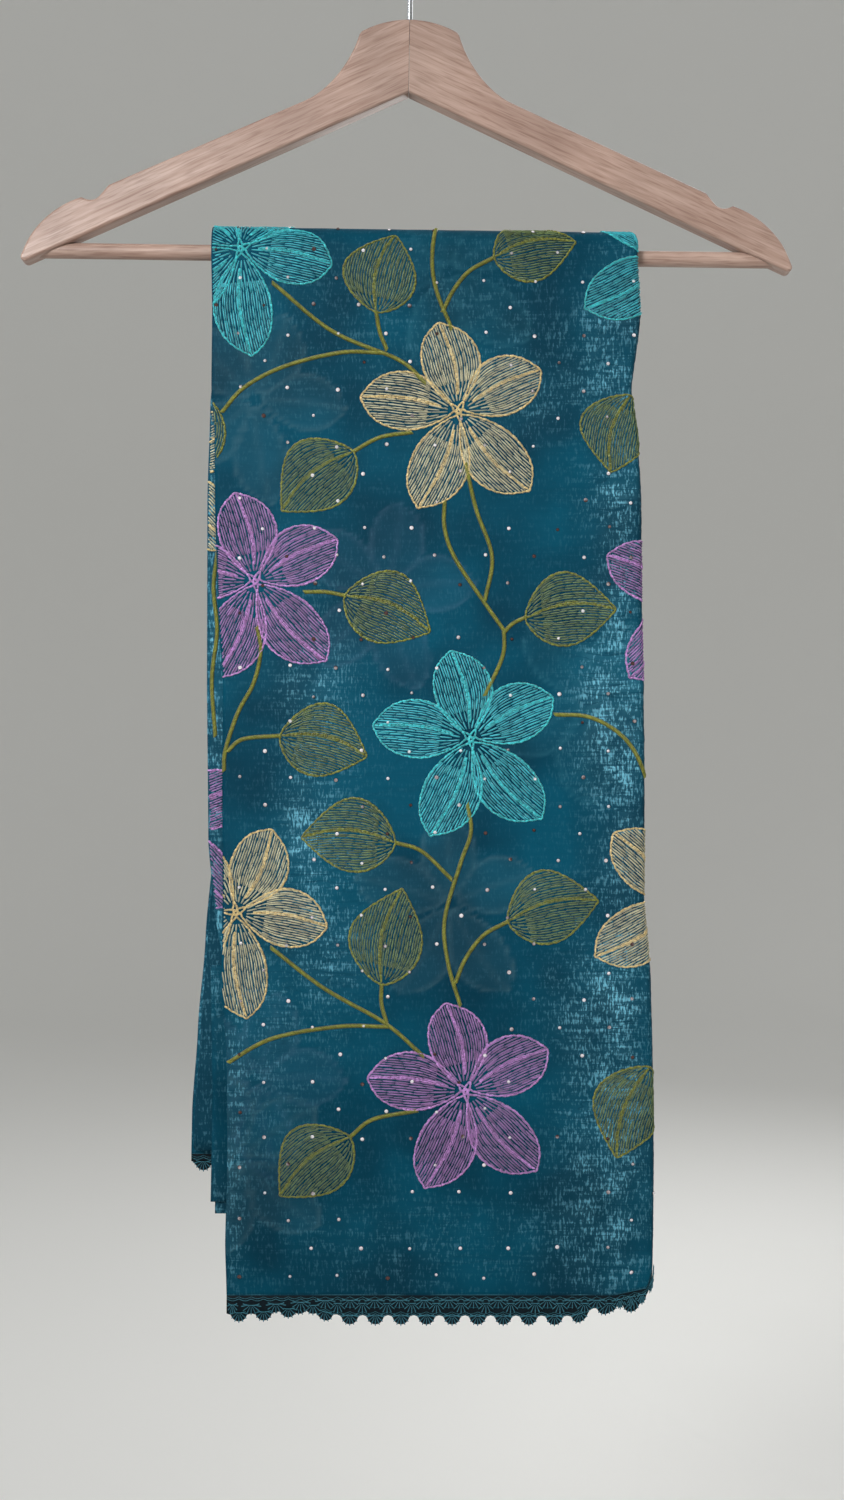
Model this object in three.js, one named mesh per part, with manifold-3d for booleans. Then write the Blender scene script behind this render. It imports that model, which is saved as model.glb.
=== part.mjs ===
// An embroidered saree, folded into a narrow stack and hung over the bar of a wooden hanger.
// Millimetres, +Z up, +X to the right seen from the front, +Y to the back.
// The origin is the inside top of the hook, where a rail carries the hanger.

import * as THREE from 'three';
import { mergeVertices } from 'three/addons/utils/BufferGeometryUtils.js';
import Module from 'manifold-3d';

const wasm = await Module();
wasm.setup();

// ---------------------------------------------------------------- driving dimensions

const GAP = 0.3; // clearance between pieces that touch
const QUARTER = Math.PI / 2;

// Hanger
const HANGER_TILT = THREE.MathUtils.degToRad(0.8); // the hanger hangs a little low on its right
const WOOD_TOP = -68; // height of the crown of the wood
const WOOD_THICKNESS = 13;
const CROWN_RADIUS = 57;
const CROWN_HALF_ANGLE = 0.503; // radians from the middle of the crown to its end
const WOOD_ROUNDING = 2;
const WOOD_ROUNDING_STEPS = 2;
const CURVE_STEPS = 5; // segments in each curve of the wood's outline
const WOOD_APEX_DROP = 41.8; // crown to the inner apex, where the two arms meet
const BAR_DIAMETER = 9;
const BAR_DROP = 134.3; // crown of the wood to the bar's axis
const BAR_LENGTH = 430;
const BAR_SIDES = 20;
const BAR_CLEARANCE = 0.3; // between the bar and its two sockets
const HOOK_WIRE = 3.2;
const HOOK_INNER_RADIUS = 19;
const HOOK_DEPTH = 12; // length of wire inside the wood
const SHANK = 15; // straight wire above the wood
const SHANK_BEND = { x: 0.8, rise: 21.5 }; // the bend towards the hook's round
const SHANK_SWING = { x: 5.2, rise: 27 };
const HOOK_START = -50; // angles on the hook's circle, in degrees from +X
const HOOK_END = 205;
const HOOK_STEP = 17;
const HOOK_SIDES = 8;
const HOOK_LENGTHS = 46; // segments along the wire

// Cloth
const WALL = 1.2; // thickness of one outer layer of cloth
const LACE_WALL = 1;
const BAR_TURN = 14.5; // radius of the cloth's outside where it turns over the bar
const BAR_Z = WOOD_TOP - BAR_DROP;
const TURN_SIDES = 6; // segments in a quarter turn over the bar
const ROW_STEP = 19; // spacing of the rows down a fall
const COLUMNS = 13; // flat columns across an outer fall
const SECOND_COLUMNS = 9;
const EDGE_RADIUS = 4; // roundness of the right fold
const EDGE_SWEEP = THREE.MathUtils.degToRad(110); // how far the cloth turns round the right fold
const EDGE_COLUMNS = 4;
const FRONT_HEM = -799;
const BACK_HEM = -723.5;
const CORNER_LIFT = 4; // climb of the hem towards the right fold
const TURNED_LIFT = 15; // and its further climb round the fold
const HEM_REACH = 60; // height of cloth that the climb is spread over
const TILT_FADE = 150; // the bar's slope is lost in the cloth over this drop
const SECOND_DIP_START = 0.9; // share of its height at which the second layer starts to dip
const SECOND_DEPTH = WALL + GAP; // depth of the second layer below the outer face
const INNER_DEPTH = 2 * (WALL + GAP); // depth of the hidden layers behind both
const BAR_SIDE_GAP = 0.5; // half the space between the two halves of the stack, below the bar
const INNER_HEM_RISE = 3; // the hidden layers end this far above the outer hem
const INNER_LEFT_INSET = 2; // the hidden layers start this far inside the left edge
const INNER_SIDE_GAP = 0.9; // between the hidden layers and the inside of the right fold
const LEGS_MEET = 120; // drop at which the two halves of the stack come together
const EDGE_LAYERS = 4; // groups of folds that show at the stack's edges
const EDGE_GROOVE = 1.3; // depth of the grooves between them
const SCALLOP = 14.4; // width of one lace fan
const SCALLOP_COLUMNS = 6;
const LACE_SWEEP = THREE.MathUtils.degToRad(75); // how far the outer lace follows the right fold
const LACE_TURN_COLUMNS = 3;
const LACE_INSET = 0.1; // the lace lies this far inside the faces of the cloth that it hangs from
const LACE_DEPTH = 9.3;
const LACE_NOTCH = 2.6; // how far the notch between two fans cuts in

// How far the outer face stands from the bar's axis as the cloth falls, before the creases.
const FALL_PROFILE = [
  // drop below the bar, stand-off
  { drop: 0, out: 14.5 },
  { drop: 40, out: 14.2 },
  { drop: 110, out: 13.2 },
  { drop: 220, out: 12.6 },
  { drop: 420, out: 12.9 },
  { drop: 620, out: 12.2 },
];

// Left and right edges of the front fall.
const FRONT_EDGES = [
  { z: -206, left: -114, right: 129.4 },
  { z: -238, left: -113.5, right: 131.1 },
  { z: -282, left: -114, right: 126.1 },
  { z: -308, left: -112.2, right: 129.6 },
  { z: -345, left: -112, right: 131.7 },
  { z: -402, left: -110.6, right: 131.9 },
  { z: -450, left: -107.6, right: 133 },
  { z: -510, left: -107.9, right: 133.6 },
  { z: -570, left: -107.6, right: 133.2 },
  { z: -621, left: -108.4, right: 137.2 },
  { z: -668, left: -105.2, right: 138.2 },
  { z: -720, left: -105, right: 138.8 },
  { z: -770, left: -106.3, right: 138.6 },
  { z: -799, left: -105.5, right: 138.2 },
];

// Left and right edges of the back fall, whose left side swings out towards its hem.
const BACK_EDGES = [
  { z: -206, left: -114, right: 129.4 },
  { z: -300, left: -113, right: 127 },
  { z: -450, left: -112.5, right: 128 },
  { z: -540, left: -115.5, right: 129 },
  { z: -598, left: -120.4, right: 129.5 },
  { z: -650, left: -124.8, right: 130 },
  { z: -700, left: -128.2, right: 130.5 },
  { z: -724, left: -128.6, right: 130.5 },
];

// Left and right edges of the second layer, which bulges out at the left and lies inside the right fold.
const SECOND_EDGES = [
  { z: -212, left: -110.5, right: 124 },
  { z: -262, left: -112, right: 123.5 },
  { z: -292, left: -114.8, right: 122.5 },
  { z: -345, left: -116.5, right: 126.5 },
  { z: -450, left: -116.8, right: 127.5 },
  { z: -540, left: -116, right: 128 },
  { z: -578, left: -112.5, right: 128.5 },
  { z: -620, left: -105.5, right: 131 },
  { z: -680, left: -101.5, right: 133 },
  { z: -808, left: -101, right: 133 },
];

// The lower edge of the second layer dips below the front hem in the middle.
const SECOND_HEM = [
  { x: -125, z: -797 },
  { x: -64, z: -800.5 },
  { x: -40, z: -806.5 },
  { x: 90, z: -806.8 },
  { x: 112, z: -800.5 },
  { x: 150, z: -797 },
];

// Two plain-hemmed layers of the back half that hang lower than the outermost one.
const UNDER_TOP = -612;
const UNDER_ROOM_TOP = -560; // the hidden layers start to give way to them here
const UNDER_FACE = 0.9; // distance of the nearer one from the middle of the stack
const UNDER_LAYERS = [
  { name: 'under_layer_short', face: UNDER_FACE, left: -115.6, right: 127, hem: -748.7 },
  { name: 'under_layer_long', face: UNDER_FACE + WALL + GAP, left: -113.2, right: 125, hem: -755.8 },
];
const UNDER_MARGIN = 8; // the room is fully open this far above their tops
const UNDER_ROWS = 6;
const UNDER_COLUMNS = 5;
const UNDER_RECESS = 4.2; // stand-off of the hidden layers where those two lie between the halves

// Broad creases pressed into the outer cloth. Each is a soft ridge.
const FRONT_CREASES = [
  { x: 104, z: -236, length: 66, width: 26, slope: 12, height: 1.3 },
  { x: 96, z: -318, length: 74, width: 24, slope: -8, height: 1.2 },
  { x: 108, z: -404, length: 60, width: 28, slope: 10, height: 1.5 },
  { x: 104, z: -486, length: 66, width: 24, slope: -6, height: 1.2 },
  { x: 100, z: -566, length: 70, width: 28, slope: 14, height: 1.4 },
  { x: 112, z: -650, length: 56, width: 26, slope: -12, height: 1.3 },
  { x: 108, z: -728, length: 60, width: 30, slope: 8, height: 1.2 },
  { x: -52, z: -452, length: 76, width: 30, slope: 16, height: 1.2 },
  { x: -48, z: -556, length: 84, width: 30, slope: -10, height: 1.4 },
  { x: -44, z: -676, length: 90, width: 28, slope: 6, height: 1.2 },
  { x: 18, z: -372, length: 92, width: 32, slope: -5, height: 0.9 },
  { x: 22, z: -620, length: 96, width: 34, slope: 7, height: 1 },
  { x: -70, z: -290, length: 60, width: 26, slope: -14, height: 0.9 },
];
const BACK_CREASES = [
  { x: 92, z: -262, length: 70, width: 26, slope: -10, height: 1.2 },
  { x: 98, z: -366, length: 66, width: 28, slope: 9, height: 1.4 },
  { x: 90, z: -476, length: 74, width: 26, slope: -7, height: 1.2 },
  { x: 96, z: -588, length: 62, width: 30, slope: 12, height: 1.3 },
  { x: 92, z: -684, length: 66, width: 26, slope: -9, height: 1.1 },
  { x: -58, z: -330, length: 82, width: 30, slope: 8, height: 1 },
  { x: -50, z: -462, length: 88, width: 30, slope: -12, height: 1.3 },
  { x: -62, z: -612, length: 78, width: 32, slope: 10, height: 1.2 },
  { x: 16, z: -540, length: 92, width: 34, slope: -6, height: 0.9 },
];

// ---------------------------------------------------------------- materials

const wood = new THREE.MeshStandardMaterial({ color: 0x9f8072, roughness: 0.5, metalness: 0 });
const barWood = new THREE.MeshStandardMaterial({ color: 0xb09587, roughness: 0.55, metalness: 0 });
const steel = new THREE.MeshStandardMaterial({ color: 0xb9bcc0, roughness: 0.25, metalness: 1 });
const outerCloth = new THREE.MeshStandardMaterial({ color: 0x0c485b, roughness: 0.45, metalness: 0 });
const innerCloth = new THREE.MeshStandardMaterial({ color: 0x0a3849, roughness: 0.5, metalness: 0 });
const lace = new THREE.MeshStandardMaterial({ color: 0x122a33, roughness: 0.7, metalness: 0 });

// ---------------------------------------------------------------- small helpers

// Value of one column of a table at a place between its rows, eased so that the edge has no corners.
function readTable(table, key, place, column) {
  const rising = table[0][key] < table[table.length - 1][key];
  const rows = rising ? table : [...table].reverse();
  if (place <= rows[0][key]) return rows[0][column];
  for (let i = 1; i < rows.length; i += 1) {
    const low = rows[i - 1];
    const high = rows[i];
    if (place <= high[key]) {
      const t = (place - low[key]) / (high[key] - low[key]);
      const eased = THREE.MathUtils.lerp(t, t * t * (3 - 2 * t), 0.5);
      return THREE.MathUtils.lerp(low[column], high[column], eased);
    }
  }
  return rows[rows.length - 1][column];
}

function evenly(first, last, count) {
  return Array.from({ length: count + 1 }, (_, i) => THREE.MathUtils.lerp(first, last, i / count));
}

function geometryFrom(points, triangles) {
  const geometry = new THREE.BufferGeometry();
  geometry.setAttribute('position', new THREE.Float32BufferAttribute(points.flatMap((p) => p.toArray()), 3));
  geometry.setIndex(triangles);
  return faceOutward(geometry);
}

// Reverses every triangle of a closed body if its enclosed volume comes out negative.
function faceOutward(geometry) {
  const position = geometry.attributes.position;
  const index = geometry.index.array;
  const corner = [new THREE.Vector3(), new THREE.Vector3(), new THREE.Vector3()];
  let volume = 0;
  for (let i = 0; i < index.length; i += 3) {
    corner.forEach((c, k) => c.fromBufferAttribute(position, index[i + k]));
    volume += corner[0].dot(corner[1].cross(corner[2]));
  }
  if (volume < 0) {
    for (let i = 0; i < index.length; i += 3) {
      [index[i], index[i + 1]] = [index[i + 1], index[i]];
    }
  }
  return geometry;
}

// A closed wall between two grids of points with the same rows and columns.
function closedWall(outer, inner) {
  const rows = outer.length;
  const columns = outer[0].length;
  const points = [...outer.flat(), ...inner.flat()];
  const offset = rows * columns;
  const triangles = [];
  const quad = (a, b, c, d) => triangles.push(a, b, c, a, c, d);
  for (let r = 0; r < rows - 1; r += 1) {
    for (let c = 0; c < columns - 1; c += 1) {
      const at = r * columns + c;
      quad(at, at + 1, at + columns + 1, at + columns);
      quad(offset + at, offset + at + columns, offset + at + columns + 1, offset + at + 1);
    }
  }
  const rim = [
    ...Array.from({ length: columns - 1 }, (_, c) => c),
    ...Array.from({ length: rows - 1 }, (_, r) => (r + 1) * columns - 1),
    ...Array.from({ length: columns - 1 }, (_, c) => rows * columns - 1 - c),
    ...Array.from({ length: rows - 1 }, (_, r) => (rows - 1 - r) * columns),
  ];
  rim.forEach((from, i) => {
    const to = rim[(i + 1) % rim.length];
    quad(to, from, offset + from, offset + to);
  });
  return geometryFrom(points, triangles);
}

// A closed body swept through rings that all have the same number of points.
function closedSweep(rings) {
  const count = rings[0].length;
  const points = rings.flat();
  const triangles = [];
  for (let r = 0; r < rings.length - 1; r += 1) {
    for (let i = 0; i < count; i += 1) {
      const next = (i + 1) % count;
      const low = r * count;
      const high = low + count;
      triangles.push(low + i, low + next, high + next, low + i, high + next, high + i);
    }
  }
  [rings[0], rings[rings.length - 1]].forEach((ring, end) => {
    const first = end === 0 ? 0 : (rings.length - 1) * count;
    const plane = ring.map((p) => new THREE.Vector2(p.x, p.y));
    const ringTurns = Math.sign(THREE.ShapeUtils.area(plane));
    const wanted = end === 0 ? -ringTurns : ringTurns;
    THREE.ShapeUtils.triangulateShape(plane, []).forEach(([a, b, c]) => {
      const turns = Math.sign(THREE.ShapeUtils.area([plane[a], plane[b], plane[c]]));
      triangles.push(first + a, first + (turns === wanted ? b : c), first + (turns === wanted ? c : b));
    });
  });
  return geometryFrom(points, triangles);
}

function toSolid(geometry) {
  const bare = geometry.clone();
  bare.deleteAttribute('normal');
  bare.deleteAttribute('uv');
  const merged = mergeVertices(bare, 1e-4);
  return new wasm.Manifold(new wasm.Mesh({
    numProp: 3,
    vertProperties: Float32Array.from(merged.attributes.position.array),
    triVerts: Uint32Array.from(merged.index.array),
  }));
}

function fromSolid(solid) {
  const mesh = solid.getMesh();
  const geometry = new THREE.BufferGeometry();
  geometry.setAttribute('position', new THREE.BufferAttribute(mesh.vertProperties, 3));
  geometry.setIndex(Array.from(mesh.triVerts));
  return geometry;
}

function piece(name, geometry, material) {
  geometry.computeVertexNormals();
  const mesh = new THREE.Mesh(geometry, material);
  mesh.name = name;
  return mesh;
}

// ---------------------------------------------------------------- hanger

// Outline of the two arms as one board: x to the side, y up from the crown of the wood.
function boardOutline() {
  const right = new THREE.Path();
  right.absarc(0, -CROWN_RADIUS, CROWN_RADIUS, QUARTER, QUARTER - CROWN_HALF_ANGLE, true);
  right.lineTo(28.8, -8.8);
  right.bezierCurveTo(32.5, -22, 44, -40.5, 60, -47.5); // hollow under the crown
  right.lineTo(171.7, -97.4);
  right.lineTo(176.6, -103.4); // notch for straps
  right.quadraticCurveTo(180.6, -108, 187.2, -104.5);
  right.bezierCurveTo(200, -108.5, 213.5, -119, 219.3, -132.8); // rounded shoulder
  right.lineTo(222.3, -140);
  right.lineTo(219.5, -142.3);
  right.lineTo(0, -WOOD_APEX_DROP);
  const half = right.getPoints(CURVE_STEPS);
  const left = half.slice(1, -1).reverse().map((p) => new THREE.Vector2(-p.x, p.y));
  return new THREE.Shape([...half, ...left]);
}

function board() {
  const geometry = new THREE.ExtrudeGeometry(boardOutline(), {
    depth: WOOD_THICKNESS - 2 * WOOD_ROUNDING,
    bevelThickness: WOOD_ROUNDING,
    bevelSize: WOOD_ROUNDING,
    bevelOffset: -WOOD_ROUNDING,
    bevelSegments: WOOD_ROUNDING_STEPS,
  });
  geometry.translate(0, 0, WOOD_ROUNDING - WOOD_THICKNESS / 2);
  geometry.rotateX(QUARTER);
  return geometry;
}

function cylinderAlong(axis, radius, length, sides) {
  const geometry = new THREE.CylinderGeometry(radius, radius, length, sides);
  if (axis === 'x') geometry.rotateZ(QUARTER);
  if (axis === 'z') geometry.rotateX(QUARTER);
  return geometry;
}

// The board is sawn in two at the middle, bored for the hook and socketed for the bar.
function hangerArms() {
  const barSocket = cylinderAlong('x', BAR_DIAMETER / 2 + BAR_CLEARANCE, BAR_LENGTH + 2 * GAP, BAR_SIDES);
  barSocket.translate(0, 0, -BAR_DROP);
  const hookBore = cylinderAlong('z', HOOK_WIRE / 2 + GAP, 2 * (HOOK_DEPTH + GAP), HOOK_SIDES * 2);
  const bored = toSolid(board()).subtract(toSolid(barSocket)).subtract(toSolid(hookBore));
  const sides = { hanger_arm_left: -1, hanger_arm_right: 1 };
  const reach = BAR_LENGTH;
  return Object.entries(sides).map(([name, side]) => {
    const half = new THREE.BoxGeometry(reach, reach, reach);
    half.translate(side * (reach + GAP) / 2, 0, 0);
    return piece(name, fromSolid(bored.intersect(toSolid(half))), wood);
  });
}

function hangerBar() {
  const geometry = cylinderAlong('x', BAR_DIAMETER / 2, BAR_LENGTH, BAR_SIDES);
  geometry.translate(0, 0, -BAR_DROP);
  return piece('hanger_bar', geometry, barWood);
}

// Round wire: a straight shank out of the wood, an easy bend to the right and a round hook over the rail.
function hangerHook() {
  const radius = HOOK_INNER_RADIUS + HOOK_WIRE / 2;
  const route = [
    [0, WOOD_TOP - HOOK_DEPTH],
    [0, WOOD_TOP],
    [0, WOOD_TOP + SHANK],
    [SHANK_BEND.x, WOOD_TOP + SHANK_BEND.rise],
    [SHANK_SWING.x, WOOD_TOP + SHANK_SWING.rise],
  ].map(([x, z]) => new THREE.Vector3(x, 0, z));
  for (let angle = HOOK_START; angle <= HOOK_END; angle += HOOK_STEP) {
    const turn = THREE.MathUtils.degToRad(angle);
    route.push(new THREE.Vector3(radius * Math.cos(turn), 0, radius * Math.sin(turn) - HOOK_INNER_RADIUS));
  }
  const section = new THREE.Shape();
  section.absarc(0, 0, HOOK_WIRE / 2, 0, 2 * Math.PI);
  const geometry = new THREE.ExtrudeGeometry(section, {
    steps: HOOK_LENGTHS,
    curveSegments: HOOK_SIDES / 2,
    bevelEnabled: false,
    extrudePath: new THREE.CatmullRomCurve3(route),
  });
  return piece('hanger_hook', geometry, steel);
}

// ---------------------------------------------------------------- cloth, hung over the bar

// A station on the way over the bar: side is -1 in front and +1 behind. Above the bar's axis the
// station is an angle from the top; below it, a height.
function turnStation(side, angle) {
  return { side, angle };
}

function fallStation(side, z) {
  return { side, z };
}

function ridge(crease, x, z) {
  const turn = THREE.MathUtils.degToRad(crease.slope);
  const along = (x - crease.x) * Math.cos(turn) + (z - crease.z) * Math.sin(turn);
  const across = (z - crease.z) * Math.cos(turn) - (x - crease.x) * Math.sin(turn);
  return crease.height * Math.exp(-((2 * along / crease.length) ** 2) - (2 * across / crease.width) ** 2);
}

// Height added to the outer face by the broad creases.
function creaseHeight(side, x, z) {
  const creases = side < 0 ? FRONT_CREASES : BACK_CREASES;
  return creases.reduce((sum, crease) => sum + ridge(crease, x, z), 0);
}

// Point of the stack: across it at x, and at a depth under the outer face.
function stackPoint(station, x, depth, raised = 0) {
  const lean = -x * Math.sin(HANGER_TILT);
  if (station.angle !== undefined) {
    const radius = BAR_TURN - depth + raised;
    const y = station.side * radius * Math.sin(station.angle);
    return new THREE.Vector3(x, y, BAR_Z + lean + radius * Math.cos(station.angle));
  }
  const drop = BAR_Z - station.z;
  const out = readTable(FALL_PROFILE, 'drop', drop, 'out') - depth + raised;
  const fade = Math.max(0, 1 - drop / TILT_FADE);
  return new THREE.Vector3(x, station.side * out, station.z + lean * fade);
}

function standOff(z) {
  return readTable(FALL_PROFILE, 'drop', BAR_Z - z, 'out');
}

function stationHeight(station) {
  return station.angle === undefined ? station.z : BAR_Z;
}

// Stations from the top of the bar to a hem, on one side.
function stationsDown(side, hem) {
  const turn = evenly(0, QUARTER, TURN_SIDES).map((angle) => turnStation(side, angle));
  const rows = Math.round((BAR_Z - hem) / ROW_STEP);
  const fall = evenly(BAR_Z, hem, rows).slice(1).map((z) => fallStation(side, z));
  return [...turn, ...fall];
}

// How far the hem climbs over its last flat column and the first quarter turn of the right fold.
function cornerLift(along) {
  const flat = THREE.MathUtils.clamp((along - 1) * COLUMNS + 1, 0, 1);
  const turned = THREE.MathUtils.clamp(along - 1, 0, 1);
  return CORNER_LIFT * flat + TURNED_LIFT * turned;
}

// Where a distance across the cloth comes to: flat from the left edge, then round the right fold.
function acrossFall(edges, z, along, depth) {
  const left = readTable(edges, 'z', z, 'left');
  const flat = readTable(edges, 'z', z, 'right') - EDGE_RADIUS - left;
  if (along <= 1) return { x: left + along * flat, inward: depth };
  const angle = (along - 1) * QUARTER;
  const radius = EDGE_RADIUS - depth;
  return {
    x: left + flat + radius * Math.sin(angle),
    inward: EDGE_RADIUS - radius * Math.cos(angle),
  };
}

// One row of a fall. Columns up to 1 are flat, and each further 1 is a quarter turn of the right
// fold. The row at the top of the bar keeps half a gap clear of its twin on the other side.
function fallRow(station, edges, depth, hem) {
  const z = stationHeight(station);
  const hangs = station.z !== undefined;
  const near = hangs ? THREE.MathUtils.smoothstep(hem + HEM_REACH - station.z, 0, HEM_REACH) : 0;
  const turn = evenly(1, 1 + EDGE_SWEEP / QUARTER, EDGE_COLUMNS).slice(1);
  return [...evenly(0, 1, COLUMNS), ...turn].map((along) => {
    const { x, inward } = acrossFall(edges, z, along, depth);
    const lifted = hangs ? fallStation(station.side, z + near * cornerLift(along)) : station;
    return stackPoint(lifted, x, inward, hangs ? creaseHeight(station.side, x, z) : 0);
  });
}

function fall(name, side, edges, hem) {
  const stations = stationsDown(side, hem);
  stations[0].angle = GAP / 2 / BAR_TURN;
  const outer = stations.map((station) => fallRow(station, edges, 0, hem));
  const inner = stations.map((station) => fallRow(station, edges, WALL, hem));
  return piece(name, closedWall(outer, inner), outerCloth);
}

// How far the hem of the second layer lies below the front hem, by column.
function secondDip(x) {
  return readTable(SECOND_HEM, 'x', x, 'z') - FRONT_HEM;
}

// The second layer of the front: it starts just under the bar and shows at the left and at the hem.
function secondFall() {
  const top = BAR_Z - ROW_STEP;
  const rows = Math.round((top - FRONT_HEM) / ROW_STEP);
  const grid = (depth) => evenly(0, 1, rows).map((t) => {
    const z = THREE.MathUtils.lerp(top, FRONT_HEM, t);
    const left = readTable(SECOND_EDGES, 'z', z, 'left');
    const right = readTable(SECOND_EDGES, 'z', z, 'right');
    return evenly(left, right, SECOND_COLUMNS).map((x) => {
      const dip = secondDip(x) * THREE.MathUtils.smoothstep(t, SECOND_DIP_START, 1);
      return stackPoint(fallStation(-1, z + dip), x, depth);
    });
  });
  return piece('second_fall', closedWall(grid(SECOND_DEPTH), grid(SECOND_DEPTH + WALL)), innerCloth);
}

// Section of the hidden layers between two depths. Its two edges are grooved between the layers.
function stackSection(station, left, right, outerDepth, innerDepth) {
  const edge = evenly(0, 1, 2 * EDGE_LAYERS);
  const groove = (i) => (i % 2 === 0 ? EDGE_GROOVE : 0);
  const depthAt = (t) => THREE.MathUtils.lerp(outerDepth, innerDepth, t);
  const rightEdge = edge.map((t, i) => stackPoint(station, right - groove(i), depthAt(t)));
  const leftEdge = edge.map((t, i) => stackPoint(station, left + groove(i), depthAt(t))).reverse();
  return [...rightEdge, ...leftEdge];
}

// Depths of the hidden layers under the outer face, at one station.
function innerDepths(station) {
  if (station.angle !== undefined) {
    return { outer: WALL + GAP, inner: BAR_TURN - BAR_DIAMETER / 2 - BAR_CLEARANCE };
  }
  const drop = BAR_Z - station.z;
  const barSide = BAR_DIAMETER / 2 + BAR_CLEARANCE;
  const together = THREE.MathUtils.smoothstep(drop, 0, LEGS_MEET);
  let inside = THREE.MathUtils.lerp(barSide, BAR_SIDE_GAP, together);
  if (station.side > 0) {
    const room = THREE.MathUtils.smoothstep(-station.z, -UNDER_ROOM_TOP, -UNDER_TOP - UNDER_MARGIN);
    inside += (UNDER_RECESS - BAR_SIDE_GAP) * room;
  }
  const behindSecond = station.side < 0 && drop > 0;
  return { outer: behindSecond ? INNER_DEPTH : WALL + GAP, inner: standOff(station.z) - inside };
}

// All the hidden layers as one rounded stack over the bar, open at the bottom like the cloth itself.
function innerFolds() {
  const front = stationsDown(-1, FRONT_HEM);
  const back = stationsDown(1, BACK_HEM);
  front[front.length - 1].z += INNER_HEM_RISE;
  back[back.length - 1].z += INNER_HEM_RISE;
  const rings = [...front.reverse(), ...back.slice(1)].map((station) => {
    const edges = station.side < 0 ? FRONT_EDGES : BACK_EDGES;
    const z = stationHeight(station);
    const left = readTable(edges, 'z', z, 'left') + INNER_LEFT_INSET;
    const right = readTable(edges, 'z', z, 'right') - WALL - INNER_SIDE_GAP;
    const { outer, inner } = innerDepths(station);
    return stackSection(station, left, right, outer, inner);
  });
  return piece('inner_folds', closedSweep(rings), innerCloth);
}

// A plain-hemmed layer between the two halves of the stack: face is its distance from the middle.
function underLayer({ name, face, left, right, hem }) {
  const grid = (y) => evenly(UNDER_TOP, hem, UNDER_ROWS).map((z) => (
    evenly(left, right, UNDER_COLUMNS).map((x) => stackPoint(fallStation(1, z), x, standOff(z) - y))
  ));
  return piece(name, closedWall(grid(face + WALL), grid(face)), innerCloth);
}

// ---------------------------------------------------------------- lace

// Depth of the lace below its heading, by distance along it: a row of round fans.
function fanDepth(distance) {
  const t = (distance / SCALLOP) % 1;
  return LACE_DEPTH - LACE_NOTCH * (1 - Math.sqrt(Math.sin(Math.PI * t)));
}

// Columns of a flat run of lace, from 0 to 1 along it, with the distance in whole fans.
function laceColumns(length) {
  const fans = Math.round(length / SCALLOP);
  return evenly(0, 1, fans * SCALLOP_COLUMNS).map((along) => ({ along, distance: along * fans * SCALLOP }));
}

// A strip of scalloped lace that hangs from a hem. heading gives the hem's point for a column's
// place along it and a depth.
function laceStrip(name, columns, depth, heading) {
  const row = (inside, below) => columns.map(({ along, distance }) => {
    const point = heading(along, inside);
    point.z -= below(distance);
    return point;
  });
  const grid = (inside) => [row(inside, () => GAP), row(inside, fanDepth)];
  return piece(name, closedWall(grid(depth), grid(depth + LACE_WALL)), lace);
}

// Lace along the hem of an outer fall, round the right fold as far as the lace goes.
function outerLace(name, side, edges, hem) {
  const { left, right } = edges[edges.length - 1];
  const flat = laceColumns(right - EDGE_RADIUS - left);
  const flatEnd = flat[flat.length - 1].distance;
  const turned = evenly(0, LACE_SWEEP, LACE_TURN_COLUMNS).slice(1).map((angle) => (
    { along: 1 + angle / QUARTER, distance: flatEnd + angle * EDGE_RADIUS }
  ));
  return laceStrip(name, [...flat, ...turned], LACE_INSET, (along, depth) => {
    const across = acrossFall(edges, hem, along, depth);
    return stackPoint(fallStation(side, hem + cornerLift(along)), across.x, across.inward);
  });
}

// Lace along the dipping hem of the second layer, straight from column to column as the cloth is.
function secondLace() {
  const { left, right } = SECOND_EDGES[SECOND_EDGES.length - 1];
  const dipAt = (column) => secondDip(THREE.MathUtils.lerp(left, right, column / SECOND_COLUMNS));
  return laceStrip('lace_second', laceColumns(right - left), SECOND_DEPTH + LACE_INSET, (along, depth) => {
    const column = Math.min(Math.floor(along * SECOND_COLUMNS), SECOND_COLUMNS - 1);
    const dip = THREE.MathUtils.lerp(dipAt(column), dipAt(column + 1), along * SECOND_COLUMNS - column);
    return stackPoint(fallStation(-1, FRONT_HEM + dip), THREE.MathUtils.lerp(left, right, along), depth);
  });
}

// ---------------------------------------------------------------- assembly

const hanger = new THREE.Group();
const hangerWood = new THREE.Group();
hangerWood.position.z = WOOD_TOP;
hangerWood.add(...hangerArms(), hangerBar());
hanger.add(hangerWood, hangerHook());
hanger.rotation.y = HANGER_TILT;

const saree = new THREE.Group();
saree.add(
  fall('front_fall', -1, FRONT_EDGES, FRONT_HEM),
  fall('back_fall', 1, BACK_EDGES, BACK_HEM),
  secondFall(),
  innerFolds(),
  ...UNDER_LAYERS.map(underLayer),
  outerLace('lace_front', -1, FRONT_EDGES, FRONT_HEM),
  secondLace(),
  outerLace('lace_back', 1, BACK_EDGES, BACK_HEM),
);

const part = new THREE.Group();
part.add(hanger, saree);
part.updateMatrixWorld(true);

export default part;
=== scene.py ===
import math

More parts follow.
